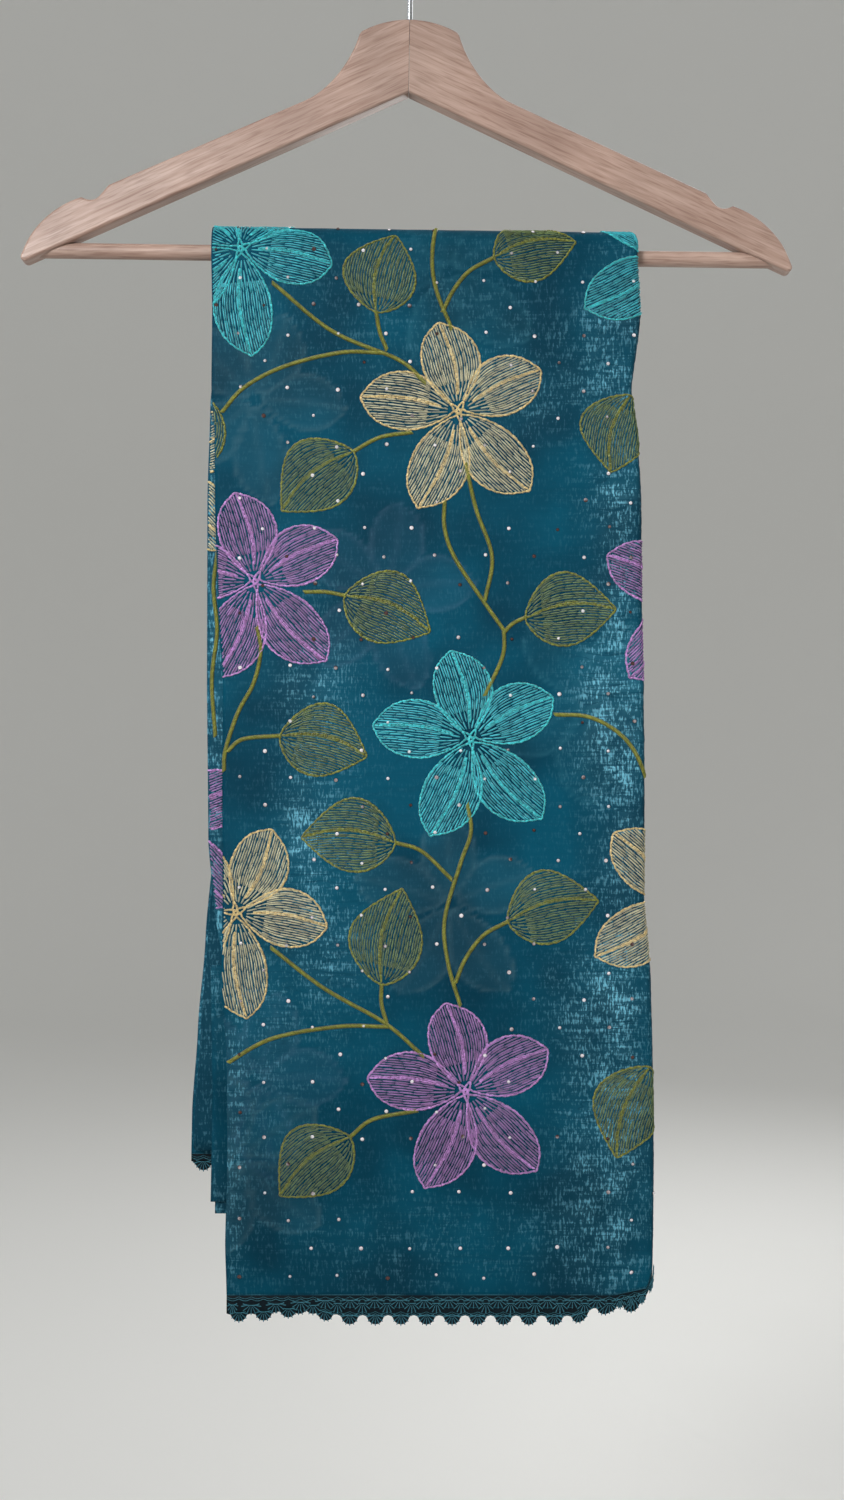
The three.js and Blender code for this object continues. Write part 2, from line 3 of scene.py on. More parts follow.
import bpy
import numpy as np
from bpy.props import FloatProperty, FloatVectorProperty, IntProperty, PointerProperty
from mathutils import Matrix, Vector


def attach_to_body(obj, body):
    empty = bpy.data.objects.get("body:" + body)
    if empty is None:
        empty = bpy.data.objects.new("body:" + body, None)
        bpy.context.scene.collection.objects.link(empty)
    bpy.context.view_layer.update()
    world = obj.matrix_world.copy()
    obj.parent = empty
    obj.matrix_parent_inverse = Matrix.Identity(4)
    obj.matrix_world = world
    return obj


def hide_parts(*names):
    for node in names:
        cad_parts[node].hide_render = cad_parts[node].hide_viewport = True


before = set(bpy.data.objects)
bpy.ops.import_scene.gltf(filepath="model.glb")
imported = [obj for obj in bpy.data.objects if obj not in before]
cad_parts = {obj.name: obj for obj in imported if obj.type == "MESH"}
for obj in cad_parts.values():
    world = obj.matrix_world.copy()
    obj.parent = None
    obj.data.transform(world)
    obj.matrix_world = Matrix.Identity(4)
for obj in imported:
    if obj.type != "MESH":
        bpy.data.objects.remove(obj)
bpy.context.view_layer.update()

bl_info = {
    "name": "Embroidered saree on a wooden hanger",
    "version": (1, 0, 0),
    "blender": (4, 5, 0),
    "location": "3D View > Sidebar > Saree",
    "description": "Builds a folded embroidered saree over the bar of a wooden hanger",
    "category": "Object",
}

MM = 0.001
BODY = "root"

# ------------------------------------------------------------------ stage, in metres

CAMERA_PLACE = (0.0061, -1.0825, -0.4877)
LIGHT_AIM = (0.0, 0.0, -0.44)
# name, place, diameter, power in watts, spread in degrees
LAMPS = [
    ("key_light", (-0.8, -1.6, 0.25), 0.7, 1.8, 33),
    ("fill_light", (1.6, -1.3, -0.2), 1.4, 3.5, 180),
    ("back_light", (0.9, 1.9, 0.7), 1.6, 20.0, 180),
    ("side_light", (-1.8, 0.6, 0.1), 1.2, 7.0, 180),
]
FLOOR_REACH, FLOOR_SWEEP, WALL_HEIGHT, FLOOR_SIDES = 4.2, 1.6, 4.0, 96

# ------------------------------------------------------------------ sizes shared with the solids, in mm

HANGER_TILT = math.radians(0.8)
WOOD_TOP = -68.0
WOOD_THICKNESS = 13.0
CROWN_RADIUS = 57.0
CROWN_HALF_ANGLE = 0.503
WOOD_APEX_DROP = 41.8
BAR_DROP = 134.3
BAR_Z = WOOD_TOP - BAR_DROP
HOOK_CENTRE = 19.0
HOOK_DEPTH = 12.0
HOOK_TURNS = range(-50, 206, 17)  # round the bow, in degrees
HOOK_STEM = [(0, WOOD_TOP - HOOK_DEPTH), (0, WOOD_TOP), (0, -53), (0.8, -46.5), (5.2, -41)]
# Right half of the board's outline: x to the side and y up from the crown, each curve by its four points.
BOARD_NECK = [(28.8, -8.8), (32.5, -22), (44, -40.5), (60, -47.5)]
NOTCH_RIM = (171.7, -97.4)
NOTCH_START, NOTCH_BOTTOM, NOTCH_END = (176.6, -103.4), (180.6, -108), (187.2, -104.5)
BOARD_SHOULDER = [NOTCH_END, (200, -108.5), (213.5, -119), (219.3, -132.8)]
BOARD_TIP = [(222.3, -140), (219.5, -142.3)]
SEAM_GAP = 0.12  # from the middle to the joined face of each arm
SHARP_TURN = math.radians(50)  # the outline's corners over this are rounded
GRAIN_LEAN = math.radians(24.5)
BAR_EASE, BAR_END = 0.8, 0.82  # length of the bar's eased ends in mm, and their share of its radius
BAR_TURN = 14.5
ARC = BAR_TURN * math.pi / 2  # cloth from the top of the bar to the bar's level
EDGE_RADIUS = 4.0
EDGE_SWEEP = math.radians(110)
FOLD_LENGTH = EDGE_RADIUS * EDGE_SWEEP
CORNER_COLUMNS = 13
CORNER_LIFT = 4.0
TURNED_LIFT = 15.0
HEM_REACH = 60.0
TILT_FADE = 150.0
FRONT_HEM = -799.0
BACK_HEM = -723.5
SECOND_DEPTH = 1.5
SECOND_TOP = BAR_Z - 19.0
SECOND_DIP_START = 0.9
LEGS_MEET = 120.0
SCALLOP = 14.4
LACE_SWEEP = math.radians(75)
LACE_DEPTH = 9.3
LACE_INSET = 0.22  # the lace lies this far inside the outer face of its cloth
LACE_PAST_HEM = LACE_DEPTH + 1.1  # from the hem to the rim of the lower fans
LOWER_FANS, UPPER_FANS = 4.1, 2.2  # from the hem to the base of each row
LEFT_SAG = 5.4  # how much lower the front hem's lace hangs at its left end
FAN_LOOPS = 7
TURNED_FAN = (2.7, 6.4)  # half width and depth of the narrow fans that turn the fold
UNDER_TOP = -612.0
UNDER_ROOM_TOP = -560.0
UNDER_RECESS = 4.2
UNDER_ROWS, UNDER_COLUMNS = 62, 70
# node, depth of its face behind the middle, left edge, right edge, hem
UNDER_LAYERS = [
    ("under_layer_short", 0.9, -115.6, 127, -748.7),
    ("under_layer_long", 2.4, -113.2, 125, -755.8),
]
STACK_INSIDE = 4.8  # inside of the hidden layers at the bar
STACK_FRONT, STACK_BACK = 3.0, 1.5  # from the outer face to the hidden layers
HALVES_APART = 0.1  # from the middle to each half of the stack where they meet
LAYER_RISES = (0.0, 1.6, 0.6, 2.2, 1.0, 0.2, 1.8, 0.8, 1.3, 0.4, 2.0, 0.9)  # how much higher each layer ends

# drop below the bar, stand-off of the outer face
FALL_PROFILE = [(0, 14.5), (40, 14.2), (110, 13.2), (220, 12.6), (420, 12.9), (620, 12.2)]

# height, left edge, right edge
FRONT_EDGES = [
    (-206, -114, 129.4), (-238, -113.5, 131.1), (-282, -114, 126.1), (-308, -112.2, 129.6),
    (-345, -112, 131.7), (-402, -110.6, 131.9), (-450, -107.6, 133), (-510, -107.9, 133.6),
    (-570, -107.6, 133.2), (-621, -108.4, 137.2), (-668, -105.2, 138.2), (-720, -105, 138.8),
    (-770, -106.3, 138.6), (-799, -105.5, 138.2),
]
BACK_EDGES = [
    (-206, -114, 129.4), (-300, -113, 127), (-450, -112.5, 128), (-540, -115.5, 129),
    (-598, -120.4, 129.5), (-650, -124.8, 130), (-700, -128.2, 130.5), (-724, -128.6, 130.5),
]
SECOND_EDGES = [
    (-212, -110.5, 124), (-262, -112, 123.5), (-292, -114.8, 122.5), (-345, -116.5, 126.5),
    (-450, -116.8, 127.5), (-540, -116, 128), (-578, -112.5, 128.5), (-620, -105.5, 131),
    (-680, -101.5, 133), (-808, -101, 133),
]
SECOND_HEM = [(-125, -797), (-64, -800.5), (-40, -806.5), (90, -806.8), (112, -800.5), (150, -797)]

# Broad ridges pressed into the cloth: x, height, length, width, slope in degrees, rise
FRONT_RIDGES = [
    (104, -236, 66, 26, 12, 1.3), (96, -318, 74, 24, -8, 1.2), (108, -404, 60, 28, 10, 1.5),
    (104, -486, 66, 24, -6, 1.2), (100, -566, 70, 28, 14, 1.4), (112, -650, 56, 26, -12, 1.3),
    (108, -728, 60, 30, 8, 1.2), (-52, -452, 76, 30, 16, 1.2), (-48, -556, 84, 30, -10, 1.4),
    (-44, -676, 90, 28, 6, 1.2), (18, -372, 92, 32, -5, 0.9), (22, -620, 96, 34, 7, 1.0),
    (-70, -290, 60, 26, -14, 0.9),
]
BACK_RIDGES = [
    (92, -262, 70, 26, -10, 1.2), (98, -366, 66, 28, 9, 1.4), (90, -476, 74, 26, -7, 1.2),
    (96, -588, 62, 30, 12, 1.3), (92, -684, 66, 26, -9, 1.1), (-58, -330, 82, 30, 8, 1.0),
    (-50, -462, 88, 30, -12, 1.3), (-62, -612, 78, 32, 10, 1.2), (16, -540, 92, 34, -6, 0.9),
]

# Sharper creases: across, down, length, width, slope in degrees, rise
FRONT_CREASES = [
    (118, 57, 26, 3.4, 4, 0.5), (112, 64, 34, 3.2, -7, -0.4), (121, 71, 22, 3.6, 9, 0.45),
    (110, 84, 30, 5.0, -5, 0.6), (120, 97, 24, 4.2, 11, -0.45), (113, 109, 28, 4.6, -3, 0.4),
    (126, 131, 16, 4.0, 14, 0.5), (117, 152, 30, 4.4, -8, 0.6), (108, 164, 24, 4.8, 6, -0.5),
    (119, 175, 30, 4.2, 10, 0.5), (122, 204, 18, 4.6, -12, 0.4), (112, 229, 36, 4.8, 5, 0.6),
    (121, 243, 26, 4.0, -9, -0.45), (110, 257, 34, 5.2, 8, 0.55), (118, 273, 38, 5.0, -4, 0.75),
    (109, 287, 26, 4.4, 12, -0.55), (119, 303, 34, 5.4, -6, 0.75), (112, 318, 30, 4.6, 7, 0.6),
    (123, 331, 22, 4.2, -13, -0.5), (114, 352, 24, 5.0, 4, 0.4), (120, 398, 20, 4.8, -8, 0.45),
    (112, 431, 34, 5.0, 9, 0.6), (103, 447, 40, 5.4, -5, -0.5), (117, 462, 32, 5.0, 11, 0.7),
    (106, 480, 38, 5.6, -8, 0.6), (118, 498, 30, 4.8, 5, -0.5), (108, 517, 36, 5.8, -10, 0.7),
    (114, 537, 34, 5.2, 7, 0.55), (104, 556, 38, 5.6, -6, 0.6), (112, 577, 32, 5.0, 10, -0.45),
    (108, 596, 28, 5.4, -4, 0.4), (-62, 258, 24, 6.0, -14, 0.45), (-55, 283, 32, 5.6, 8, -0.4),
    (-48, 311, 28, 6.2, -6, 0.5), (-60, 341, 34, 5.6, 12, 0.6), (-63, 362, 26, 5.0, -9, -0.5),
    (-57, 389, 30, 6.0, 5, 0.5), (-46, 421, 34, 6.4, -11, 0.45), (-52, 449, 26, 5.6, 7, -0.4),
    (70, 92, 30, 6.8, 16, 0.4), (64, 118, 24, 6.0, -12, -0.35), (20, 186, 34, 7.0, 6, 0.3),
    (-30, 500, 40, 7.2, -8, 0.35), (12, 352, 30, 6.6, 9, 0.3), (70, 440, 34, 7.0, -7, 0.4),
    (60, 590, 44, 7.4, 4, 0.35), (-60, 585, 36, 6.8, -5, 0.3), (-84, 130, 28, 6.4, 10, 0.35),
]
BACK_CREASES = [
    (112, 44, 28, 4.2, -8, 0.5), (118, 72, 24, 4.8, 6, -0.4), (108, 96, 34, 5.0, -4, 0.6),
    (117, 123, 26, 4.4, 11, 0.5), (110, 149, 32, 5.4, -7, -0.5), (119, 176, 24, 4.6, 9, 0.55),
    (106, 204, 36, 5.2, -5, 0.6), (114, 233, 30, 4.8, 12, 0.5), (120, 262, 22, 5.2, -10, -0.45),
    (109, 291, 34, 5.6, 5, 0.65), (117, 322, 28, 4.8, -9, 0.5), (107, 352, 36, 5.4, 8, -0.5),
    (115, 384, 30, 5.2, -6, 0.6), (110, 418, 34, 5.6, 10, 0.55), (118, 452, 24, 5.0, -12, 0.5),
    (108, 489, 32, 5.4, 4, -0.45), (-64, 118, 30, 6.2, 9, 0.4), (-52, 166, 34, 6.6, -7, -0.4),
    (-58, 214, 28, 5.8, 12, 0.5), (-49, 268, 36, 6.4, -5, 0.5), (-66, 318, 26, 6.0, -13, 0.45),
    (-54, 372, 34, 6.6, 7, -0.45), (-70, 436, 30, 6.2, -9, 0.5), (-62, 497, 38, 7.0, 5, 0.4),
    (20, 132, 36, 7.2, -6, 0.3), (34, 300, 32, 7.0, 10, 0.35), (8, 430, 40, 7.4, -4, 0.35),
]

CALM_WRINKLE = 0.22  # share of the wrinkles' depth where the cloth isn't crushed
# Crushed patches, with deeper wrinkles and a painted sheen: across, down, half width, half length, strength
FRONT_CRUSH = [
    (121, 320, 15, 330, 0.34), (116, 62, 20, 9, 0.45), (112, 91, 20, 20, 0.5), (118, 163, 17, 19, 0.5),
    (114, 260, 17, 44, 0.42), (113, 281, 19, 15, 0.45), (116, 318, 18, 18, 0.55), (112, 470, 22, 70, 0.4),
    (105, 450, 28, 22, 0.35), (110, 545, 24, 50, 0.42), (104, 590, 30, 24, 0.25), (-55, 350, 20, 105, 0.3),
    (-61, 357, 10, 24, 0.6), (-44, 420, 20, 34, 0.3), (68, 104, 22, 26, 0.25), (-101, 530, 6, 90, 0.4),
    (-50, 270, 20, 26, 0.25), (10, 60, 120, 50, 0.08), (0, 590, 90, 30, 0.12), (-84, 470, 16, 60, 0.2),
]
BACK_CRUSH = [
    (118, 280, 17, 300, 0.36), (112, 96, 20, 22, 0.45), (114, 182, 19, 26, 0.45), (110, 292, 20, 30, 0.5),
    (113, 402, 22, 40, 0.45), (108, 486, 26, 34, 0.4), (-58, 190, 20, 80, 0.3), (-52, 262, 14, 26, 0.45),
    (-64, 392, 22, 80, 0.34), (-116, 440, 13, 120, 0.5), (20, 500, 90, 34, 0.14), (30, 130, 26, 30, 0.2),
]
SECOND_CRUSH = [(-112, 260, 10, 160, 0.5), (-112, 420, 10, 60, 0.55), (-108, 130, 9, 60, 0.4)]

# ------------------------------------------------------------------ embroidery plan, in mm on the cloth

HUES = ("turquoise", "beige", "lilac")
# One repeat of the pattern: flower centres, turn of the first petal in degrees, place in HUES
FLOWERS = [(-97, 24, 67, 0), (27, 115, 103, 1), (-89, 212, 103, 2), (34, 302, 103, 0)]
REPEAT_DOWN, REPEAT_ACROSS = 386.0, 252.0
BEHIND_DOWN, BEHIND_ACROSS = (-60, 620), (-170, 190)  # where flowers behind the bar have their centres
LAST_FLOWERS = [(-100, 401, 67, 1), (31, 503, 103, 2)]
EDGE_FLOWERS = [(150, 25, 67, 0), (163, 221, 86, 2), (156, 395, 67, 1)]
PETAL_TURNS = (0, -76, -151, -216, 69)
PETAL_LENGTHS = (52, 53, 61, 60, 57)
PETAL_BENDS = (2.2, -1.8, 2.6, -2.2, 1.6)
PETAL_BASE = 2.6  # from the centre of a flower to the base of its petals
PETAL_SHAPE = {"fullness": 1.08, "base_power": 0.76, "tip_power": 0.54}
LEAF_SHAPE = {"fullness": 0.84, "base_power": 0.8, "tip_power": 0.97}
LEAF_ARCH = 3.2
# base and tip of each leaf
LEAVES = [
    (-20, 59, -9, 14), (47, 27, 94, 17), (-33, 138, -74, 172), (-38, 220, 11, 241), (65, 233, 117, 228),
    (-75, 300, -25, 312), (-9, 361, -63, 358), (125, 105, 114, 150), (-117, 108, -134, 158),
]
LAST_LEAVES = [(-17, 442, -5, 387), (55, 406, 107, 394), (-35, 529, -75, 563), (136, 489, 117, 541)]
STEMS = [
    [(-79, 43), (-45, 70), (-7, 86), (8, 99)],
    [(-20, 59), (-18, 70), (-14, 80)],
    [(-15, 82), (-40, 82), (-72, 90), (-95, 102), (-108, 116)],
    [(16, -6), (12, 25), (14, 45), (23, 68)],
    [(18, 58), (24, 46), (33, 35), (47, 27)],
    [(-33, 138), (-18, 130), (0, 127)],
    [(31, 145), (37, 171), (46, 198), (42, 223)],
    [(19, 166), (19, 182), (25, 199), (41, 223), (53, 240)],
    [(53, 240), (52, 255), (42, 277)],
    [(53, 241), (58, 236), (66, 232)],
    [(82, 288), (100, 289), (115, 296), (126, 307), (134, 323)],
    [(-88, 238), (-86, 252), (-90, 270), (-99, 287), (-106, 308), (-107, 320)],
    [(-105, 309), (-96, 302), (-75, 300)],
    [(-61, 218), (-49, 218), (-38, 220)],
    [(32, 339), (34, 355), (28, 373), (19, 405), (21, 430), (28, 454)],
    [(-9, 361), (6, 366), (23, 382)],
]
LAST_STEMS = [
    [(55, 406), (41, 414), (31, 427), (25, 441)],
    [(-80, 421), (-50, 444), (-15, 464), (7, 483)],
    [(-17, 442), (-17, 453), (-14, 464)],
    [(-14, 466), (-42, 466), (-80, 473), (-107, 488)],
    [(-35, 529), (-22, 519), (3, 514)],
]
# What shows of the second stretch along its left edge
STRIP_FLOWERS = [(-138, 146, 100, 1), (-140, 350, 100, 2)]
STRIP_STEMS = [
    [(-110, 190), (-113, 215), (-111, 240), (-114, 268), (-112, 300)],
    [(-113, 402), (-110, 430), (-113, 455), (-109, 480)],
]
# Flowers of the layer below, seen faintly through the cloth: across, down, turn, place in HUES
FRONT_GHOSTS = [
    (-15, 217, 80, 2), (22, 396, 95, 1), (102, 280, 60, 0), (22, 35, 110, 0), (-89, 109, 70, 1),
    (-89, 496, 75, 2), (-98, 541, 110, 1),
]
BACK_GHOSTS = [(-20, 92, 95, 1), (30, 250, 75, 2), (-60, 330, 110, 0), (60, 430, 80, 1), (-85, 190, 60, 2)]
STONE_PITCH, STONE_ROW = 28.0, 15.8  # between stones of a row, and between rows
STONE_LEFT, STONE_COUNT = -126.0, 11  # the first place of a row, and how many it has
STONE_HEM = 11.0  # from the lowest row to the hem
STONE_STRAY = 0.7  # how far a stone strays from its place
STONE_MARGINS = (2.0, 3.0, 3.0)  # bare cloth at the left edge, at the right one and at the bar
STONE_FACETS = 8
STONE_SHARE = 0.78  # share of the places that still hold their stone
STONE_RINGS = [(1.15, 0.05), (1.15, 0.4), (0.92, 0.62), (0.42, 1.05)]  # share of the radius, lift


# ------------------------------------------------------------------ colours

def linear(code):
    """Linear RGBA of a six-digit sRGB hex code."""
    channels = [int(code[i:i + 2], 16) / 255 for i in (0, 2, 4)]
    return [c / 12.92 if c <= 0.04045 else ((c + 0.055) / 1.055) ** 2.4 for c in channels] + [1.0]


def colour(name, description, code):
    return FloatVectorProperty(
        name=name, description=description, subtype="COLOR", size=4, min=0.0, max=1.0, default=linear(code))


def length(name, description, millimetres):
    return FloatProperty(
        name=name, description=description, unit="LENGTH", subtype="DISTANCE", min=0.0, precision=5,
        default=millimetres * MM)


class SareeCloth(bpy.types.PropertyGroup):
    """Sizes and colours of the cloth."""

    wall: length("Cloth thickness", "Thickness of one layer of crushed tissue", 0.45)
    across_step: length("Step across", "Width of the mesh cells across the cloth", 2.9)
    down_step: length("Step down", "Height of the mesh cells down the cloth", 2.1)
    wrinkle: length("Wrinkle depth", "Height of the fine crushed wrinkles", 0.42)
    hem_roll: length("Hem roll", "Depth of the narrow rolled hem of the plain layers", 6.0)
    layers: IntProperty(
        name="Hidden layers", description="Folded layers over the bar", default=8, min=2,
        max=len(LAYER_RISES))
    teal: colour("Teal", "Plain colour of the cloth", "004459")
    # Deep teal is the dye's darker drift, and also the painted shade along the creases.
    deep: colour("Deep teal", "Colour in the troughs and folds", "003042")
    # The pale colour of the painted sheen on the crushed patches.
    painted_sheen: colour("Frost", "Pale sheen of the crushed patches", "68AAC0")
    inner: colour("Inner teal", "Colour of the folded layers at their edges", "05394C")


class SareeThread(bpy.types.PropertyGroup):
    """Sizes and colours of the embroidery."""

    row: length("Row spacing", "Distance between two laid threads", 1.45)
    dash: length("Stitch length", "Length of a laid thread in a petal", 8.5)
    leaf_dash: length("Leaf stitch", "Length of a laid thread in a leaf", 6.5)
    gap: length("Stitch gap", "Cloth that shows between two threads of a row", 0.15)
    thickness: length("Thread", "Width of the thread", 0.92)
    lift: length("Lift", "How far the thread stands on the cloth", 0.5)
    chain: length("Chain link", "Length of a link of the chain-stitched outline", 2.4)
    rope: length("Stem width", "Width of the satin-stitched stems", 2.5)
    petal_width: length("Petal width", "Greatest width of a petal", 33.0)
    leaf_width: length("Leaf width", "Greatest width of a leaf", 42.0)
    stone: length("Stone", "Diameter of a glued stone", 2.0)
    turquoise: colour("Turquoise", "Fill of the turquoise petals", "35A5B1")
    turquoise_line: colour("Turquoise line", "Outline of the turquoise petals", "3ABBC1")
    beige: colour("Beige", "Fill of the beige petals", "B2AC8E")
    beige_line: colour("Beige line", "Outline of the beige petals", "D2B982")
    lilac: colour("Lilac", "Fill of the lilac petals", "92699F")
    lilac_line: colour("Lilac line", "Outline of the lilac petals", "B886C4")
    leaf: colour("Leaf", "Fill of the leaves", "5B6C43")
    leaf_line: colour("Leaf line", "Outline, rib and stems", "77792A")


class SareeLace(bpy.types.PropertyGroup):
    """Sizes and colours of the crocheted lace."""

    cord: length("Cord", "Radius of the lace's threads", 0.31)
    fan: length("Fan width", "Width of one crocheted fan", 11.6)
    # Painted shade: the dark sheet that fills the gaps between the lace's cords.
    gap_shade: colour("Ground", "Dark ground of the lace", "03151D")
    thread: colour("Thread", "Crochet thread", "3B7484")


class SareeHanger(bpy.types.PropertyGroup):
    """Sizes and colours of the hanger."""

    rounding: length("Rounding", "Roundness of the wood's edges", 2.0)
    bar: length("Bar", "Diameter of the trouser bar", 9.0)
    bar_length: length("Bar length", "Length of the trouser bar with its ends in the sockets", 430.0)
    wire: length("Wire", "Diameter of the hook's wire", 3.2)
    wood: colour("Wood", "Lacquered pale hardwood", "B89C8E")
    wood_dark: colour("Grain", "Darker grain of the wood", "7A5443")
    bar_wood: colour("Bar wood", "Turned wood of the bar", "B99E90")


class SareeStage(bpy.types.PropertyGroup):
    """Camera, lights and floor."""

    lens: FloatProperty(
        name="Lens", description="Focal length for a 36 mm frame", unit="CAMERA", min=10.0, default=45.0)
    floor_drop: length("Floor", "Depth of the floor under the rail", 1240.0)
    world: FloatProperty(
        name="Room light", description="Strength of the room's even light", min=0.0, max=5.0, default=0.57)
    pale: colour("Studio", "Colour of the floor and the room", "EDEDEB")


# ------------------------------------------------------------------ cloth coordinates

def eased(rows, at, column=1):
    """Value of one column of a table at a place in its first column, without corners."""
    table = np.array(sorted(rows), float)
    keys = table[:, 0]
    i = np.clip(np.searchsorted(keys, at), 1, len(keys) - 1)
    t = np.clip((at - keys[i - 1]) / (keys[i] - keys[i - 1]), 0, 1)
    t = (t + t * t * (3 - 2 * t)) / 2
    return table[i - 1, column] + (table[i, column] - table[i - 1, column]) * t


def smooth(value, low, high):
    t = np.clip((value - low) / (high - low), 0, 1)
    return t * t * (3 - 2 * t)


def bumps(rows, x, y):
    """Sum of soft ridges and troughs: place, length, width, slope and rise in each row."""
    total = np.zeros(np.broadcast(x, y).shape)
    for cx, cy, long, wide, slope, rise in rows:
        turn = math.radians(slope)
        along = (x - cx) * math.cos(turn) + (y - cy) * math.sin(turn)
        side = (y - cy) * math.cos(turn) - (x - cx) * math.sin(turn)
        total += rise * np.exp(-(2 * along / long) ** 2 - (2 * side / wide) ** 2)
    return total


def patches(rows, across, down):
    """Share of crushing at a place on the cloth, from 0 to 1."""
    calm = np.ones(np.broadcast(across, down).shape)
    for cx, cy, half_width, half_length, strength in rows:
        reach = ((across - cx) / half_width) ** 2 + ((down - cy) / half_length) ** 2
        calm *= 1 - strength * np.exp(-reach)
    return 1 - calm


def wrinkles(across, down):
    """Uneven near-horizontal wrinkles, between -1 and 1."""
    drift = 0.36 * np.sin(across / 19 + 1.3) + 0.24 * np.sin(across / 8.1 + down / 31)
    coarse = np.sin(2 * math.pi * (down / 8.3 + drift))
    fine = np.sin(2 * math.pi * (down / 5.2 + 0.5 * np.sin(across / 13 + down / 47)) + across / 6)
    share = 0.55 + 0.45 * np.sin(across / 11.7 + 0.8 * np.sin(down / 23))
    return coarse * 0.6 * share + fine * 0.4 * (1.1 - share)


class Fall:
    """A stretch of cloth hung from the bar.

    Places on it are in mm: across it, flat from the left edge and then round the right fold, and
    down it from the top of the bar. side is -1 in front and +1 behind.
    """

    def __init__(
            self, side, edges, hem, ridges=(), creases=(), crush_and_sheen=(), depth=0.0, folded=True, wrinkle=0.0):
        self.side = side
        self.edges = edges
        self.hem = hem
        self.ridges = ridges
        self.creases = creases
        self.crush_and_sheen = crush_and_sheen
        self.depth = depth
        self.folded = folded
        self.wrinkle = wrinkle

    def height(self, down):
        return np.where(down < ARC, BAR_Z, BAR_Z + ARC - down)

    def down_at(self, height):
        return ARC + BAR_Z - height

    def left(self, down):
        return eased(self.edges, self.height(down), 1)

    def flat_end(self, down):
        return eased(self.edges, self.height(down), 2) - (EDGE_RADIUS if self.folded else 0)

    def end(self, down):
        return self.flat_end(down) + (FOLD_LENGTH if self.folded else 0)

    def relief(self, across, down):
        """Fine creases and wrinkles on the broad ridges."""
        if not self.creases:
            return self.wrinkle * wrinkles(across, down)
        share = CALM_WRINKLE + patches(self.crush_and_sheen, across, down)
        wrinkled = self.wrinkle * share * wrinkles(across, down)
        return bumps(self.creases, across, down) * smooth(down, 4, 26) + wrinkled

    def place(self, across, down, lift=0.0):
        """Points in metres, at a lift above the outer face."""
        across, down, lift = (a.astype(float) for a in np.broadcast_arrays(across, down, lift))
        height = self.height(down)
        left = self.left(down)
        flat_end = self.flat_end(down)
        raised = self.relief(across, down) + lift
        if self.folded:
            past = np.maximum(across - flat_end, 0)
            angle = past / EDGE_RADIUS
            radius = EDGE_RADIUS - self.depth + raised
            x = np.minimum(across, flat_end) + radius * np.sin(angle)
            inward = EDGE_RADIUS - radius * np.cos(angle)
            along = np.where(past > 0, 1 + angle / (math.pi / 2), (across - left) / (flat_end - left))
            climb = CORNER_LIFT * np.clip((along - 1) * CORNER_COLUMNS + 1, 0, 1)
            climb = climb + TURNED_LIFT * np.clip(along - 1, 0, 1)
            hung = height + climb * smooth(self.hem + HEM_REACH - height, 0, HEM_REACH)
        else:
            x = across
            inward = self.depth - raised
            hung = height + self.dip(x, height)
        drop = BAR_Z - height
        ridge = bumps(self.ridges, x, height) * smooth(down, ARC - 6, ARC + 12)
        lean = -x * math.sin(HANGER_TILT)
        turn = np.minimum(down, ARC) / BAR_TURN
        over = BAR_TURN - inward
        out = eased(FALL_PROFILE, drop) - inward + ridge
        past_bar = down >= ARC
        y = self.side * np.where(past_bar, out, over * np.sin(turn))
        z = np.where(
            past_bar,
            hung + lean * np.clip(1 - drop / TILT_FADE, 0, 1),
            BAR_Z + lean + over * np.cos(turn))
        return np.stack([x, y, z], -1) * MM

    def dip(self, x, height):
        return 0.0

    def shown(self, across, down, margin=0.6):
        """Whether a stitch at a place is on this stretch."""
        inside = (across > self.left(down) + margin) & (across < self.end(down) - margin)
        return inside & (down > margin) & (down < self.down_at(self.hem) - 1.5)


class SecondFall(Fall):
    """The stretch under the front one, whose hem dips below it in the middle."""

    def dip(self, x, height):
        share = (SECOND_TOP - height) / (SECOND_TOP - FRONT_HEM)
        return (eased(SECOND_HEM, x) - FRONT_HEM) * smooth(share, SECOND_DIP_START, 1)

    def shown(self, across, down, margin=0.6):
        """Only the strip outside the front stretch's left edge is sewn."""
        strip = eased(FRONT_EDGES, self.height(down), 1) + 0.6
        return super().shown(across, down, margin) & (across < strip)


OUTER = {
    "front": (-1, FRONT_EDGES, FRONT_HEM, FRONT_RIDGES, FRONT_CREASES, FRONT_CRUSH),
    "back": (1, BACK_EDGES, BACK_HEM, BACK_RIDGES, BACK_CREASES, BACK_CRUSH),
}


def outer_cloth(name, crushed=True):
    """The outer stretch in front or behind, with or without its creases and wrinkles."""
    side, edges, hem, ridges, creases, crush_and_sheen = OUTER[name]
    if not crushed:
        return Fall(side, edges, hem, ridges, crush_and_sheen=crush_and_sheen)
    return Fall(side, edges, hem, ridges, creases, crush_and_sheen, wrinkle=bpy.context.scene.saree_cloth.wrinkle / MM)


def second_cloth():
    return SecondFall(
        -1, SECOND_EDGES, FRONT_HEM, crush_and_sheen=SECOND_CRUSH, depth=SECOND_DEPTH, folded=False, wrinkle=0.16)


# ------------------------------------------------------------------ meshes

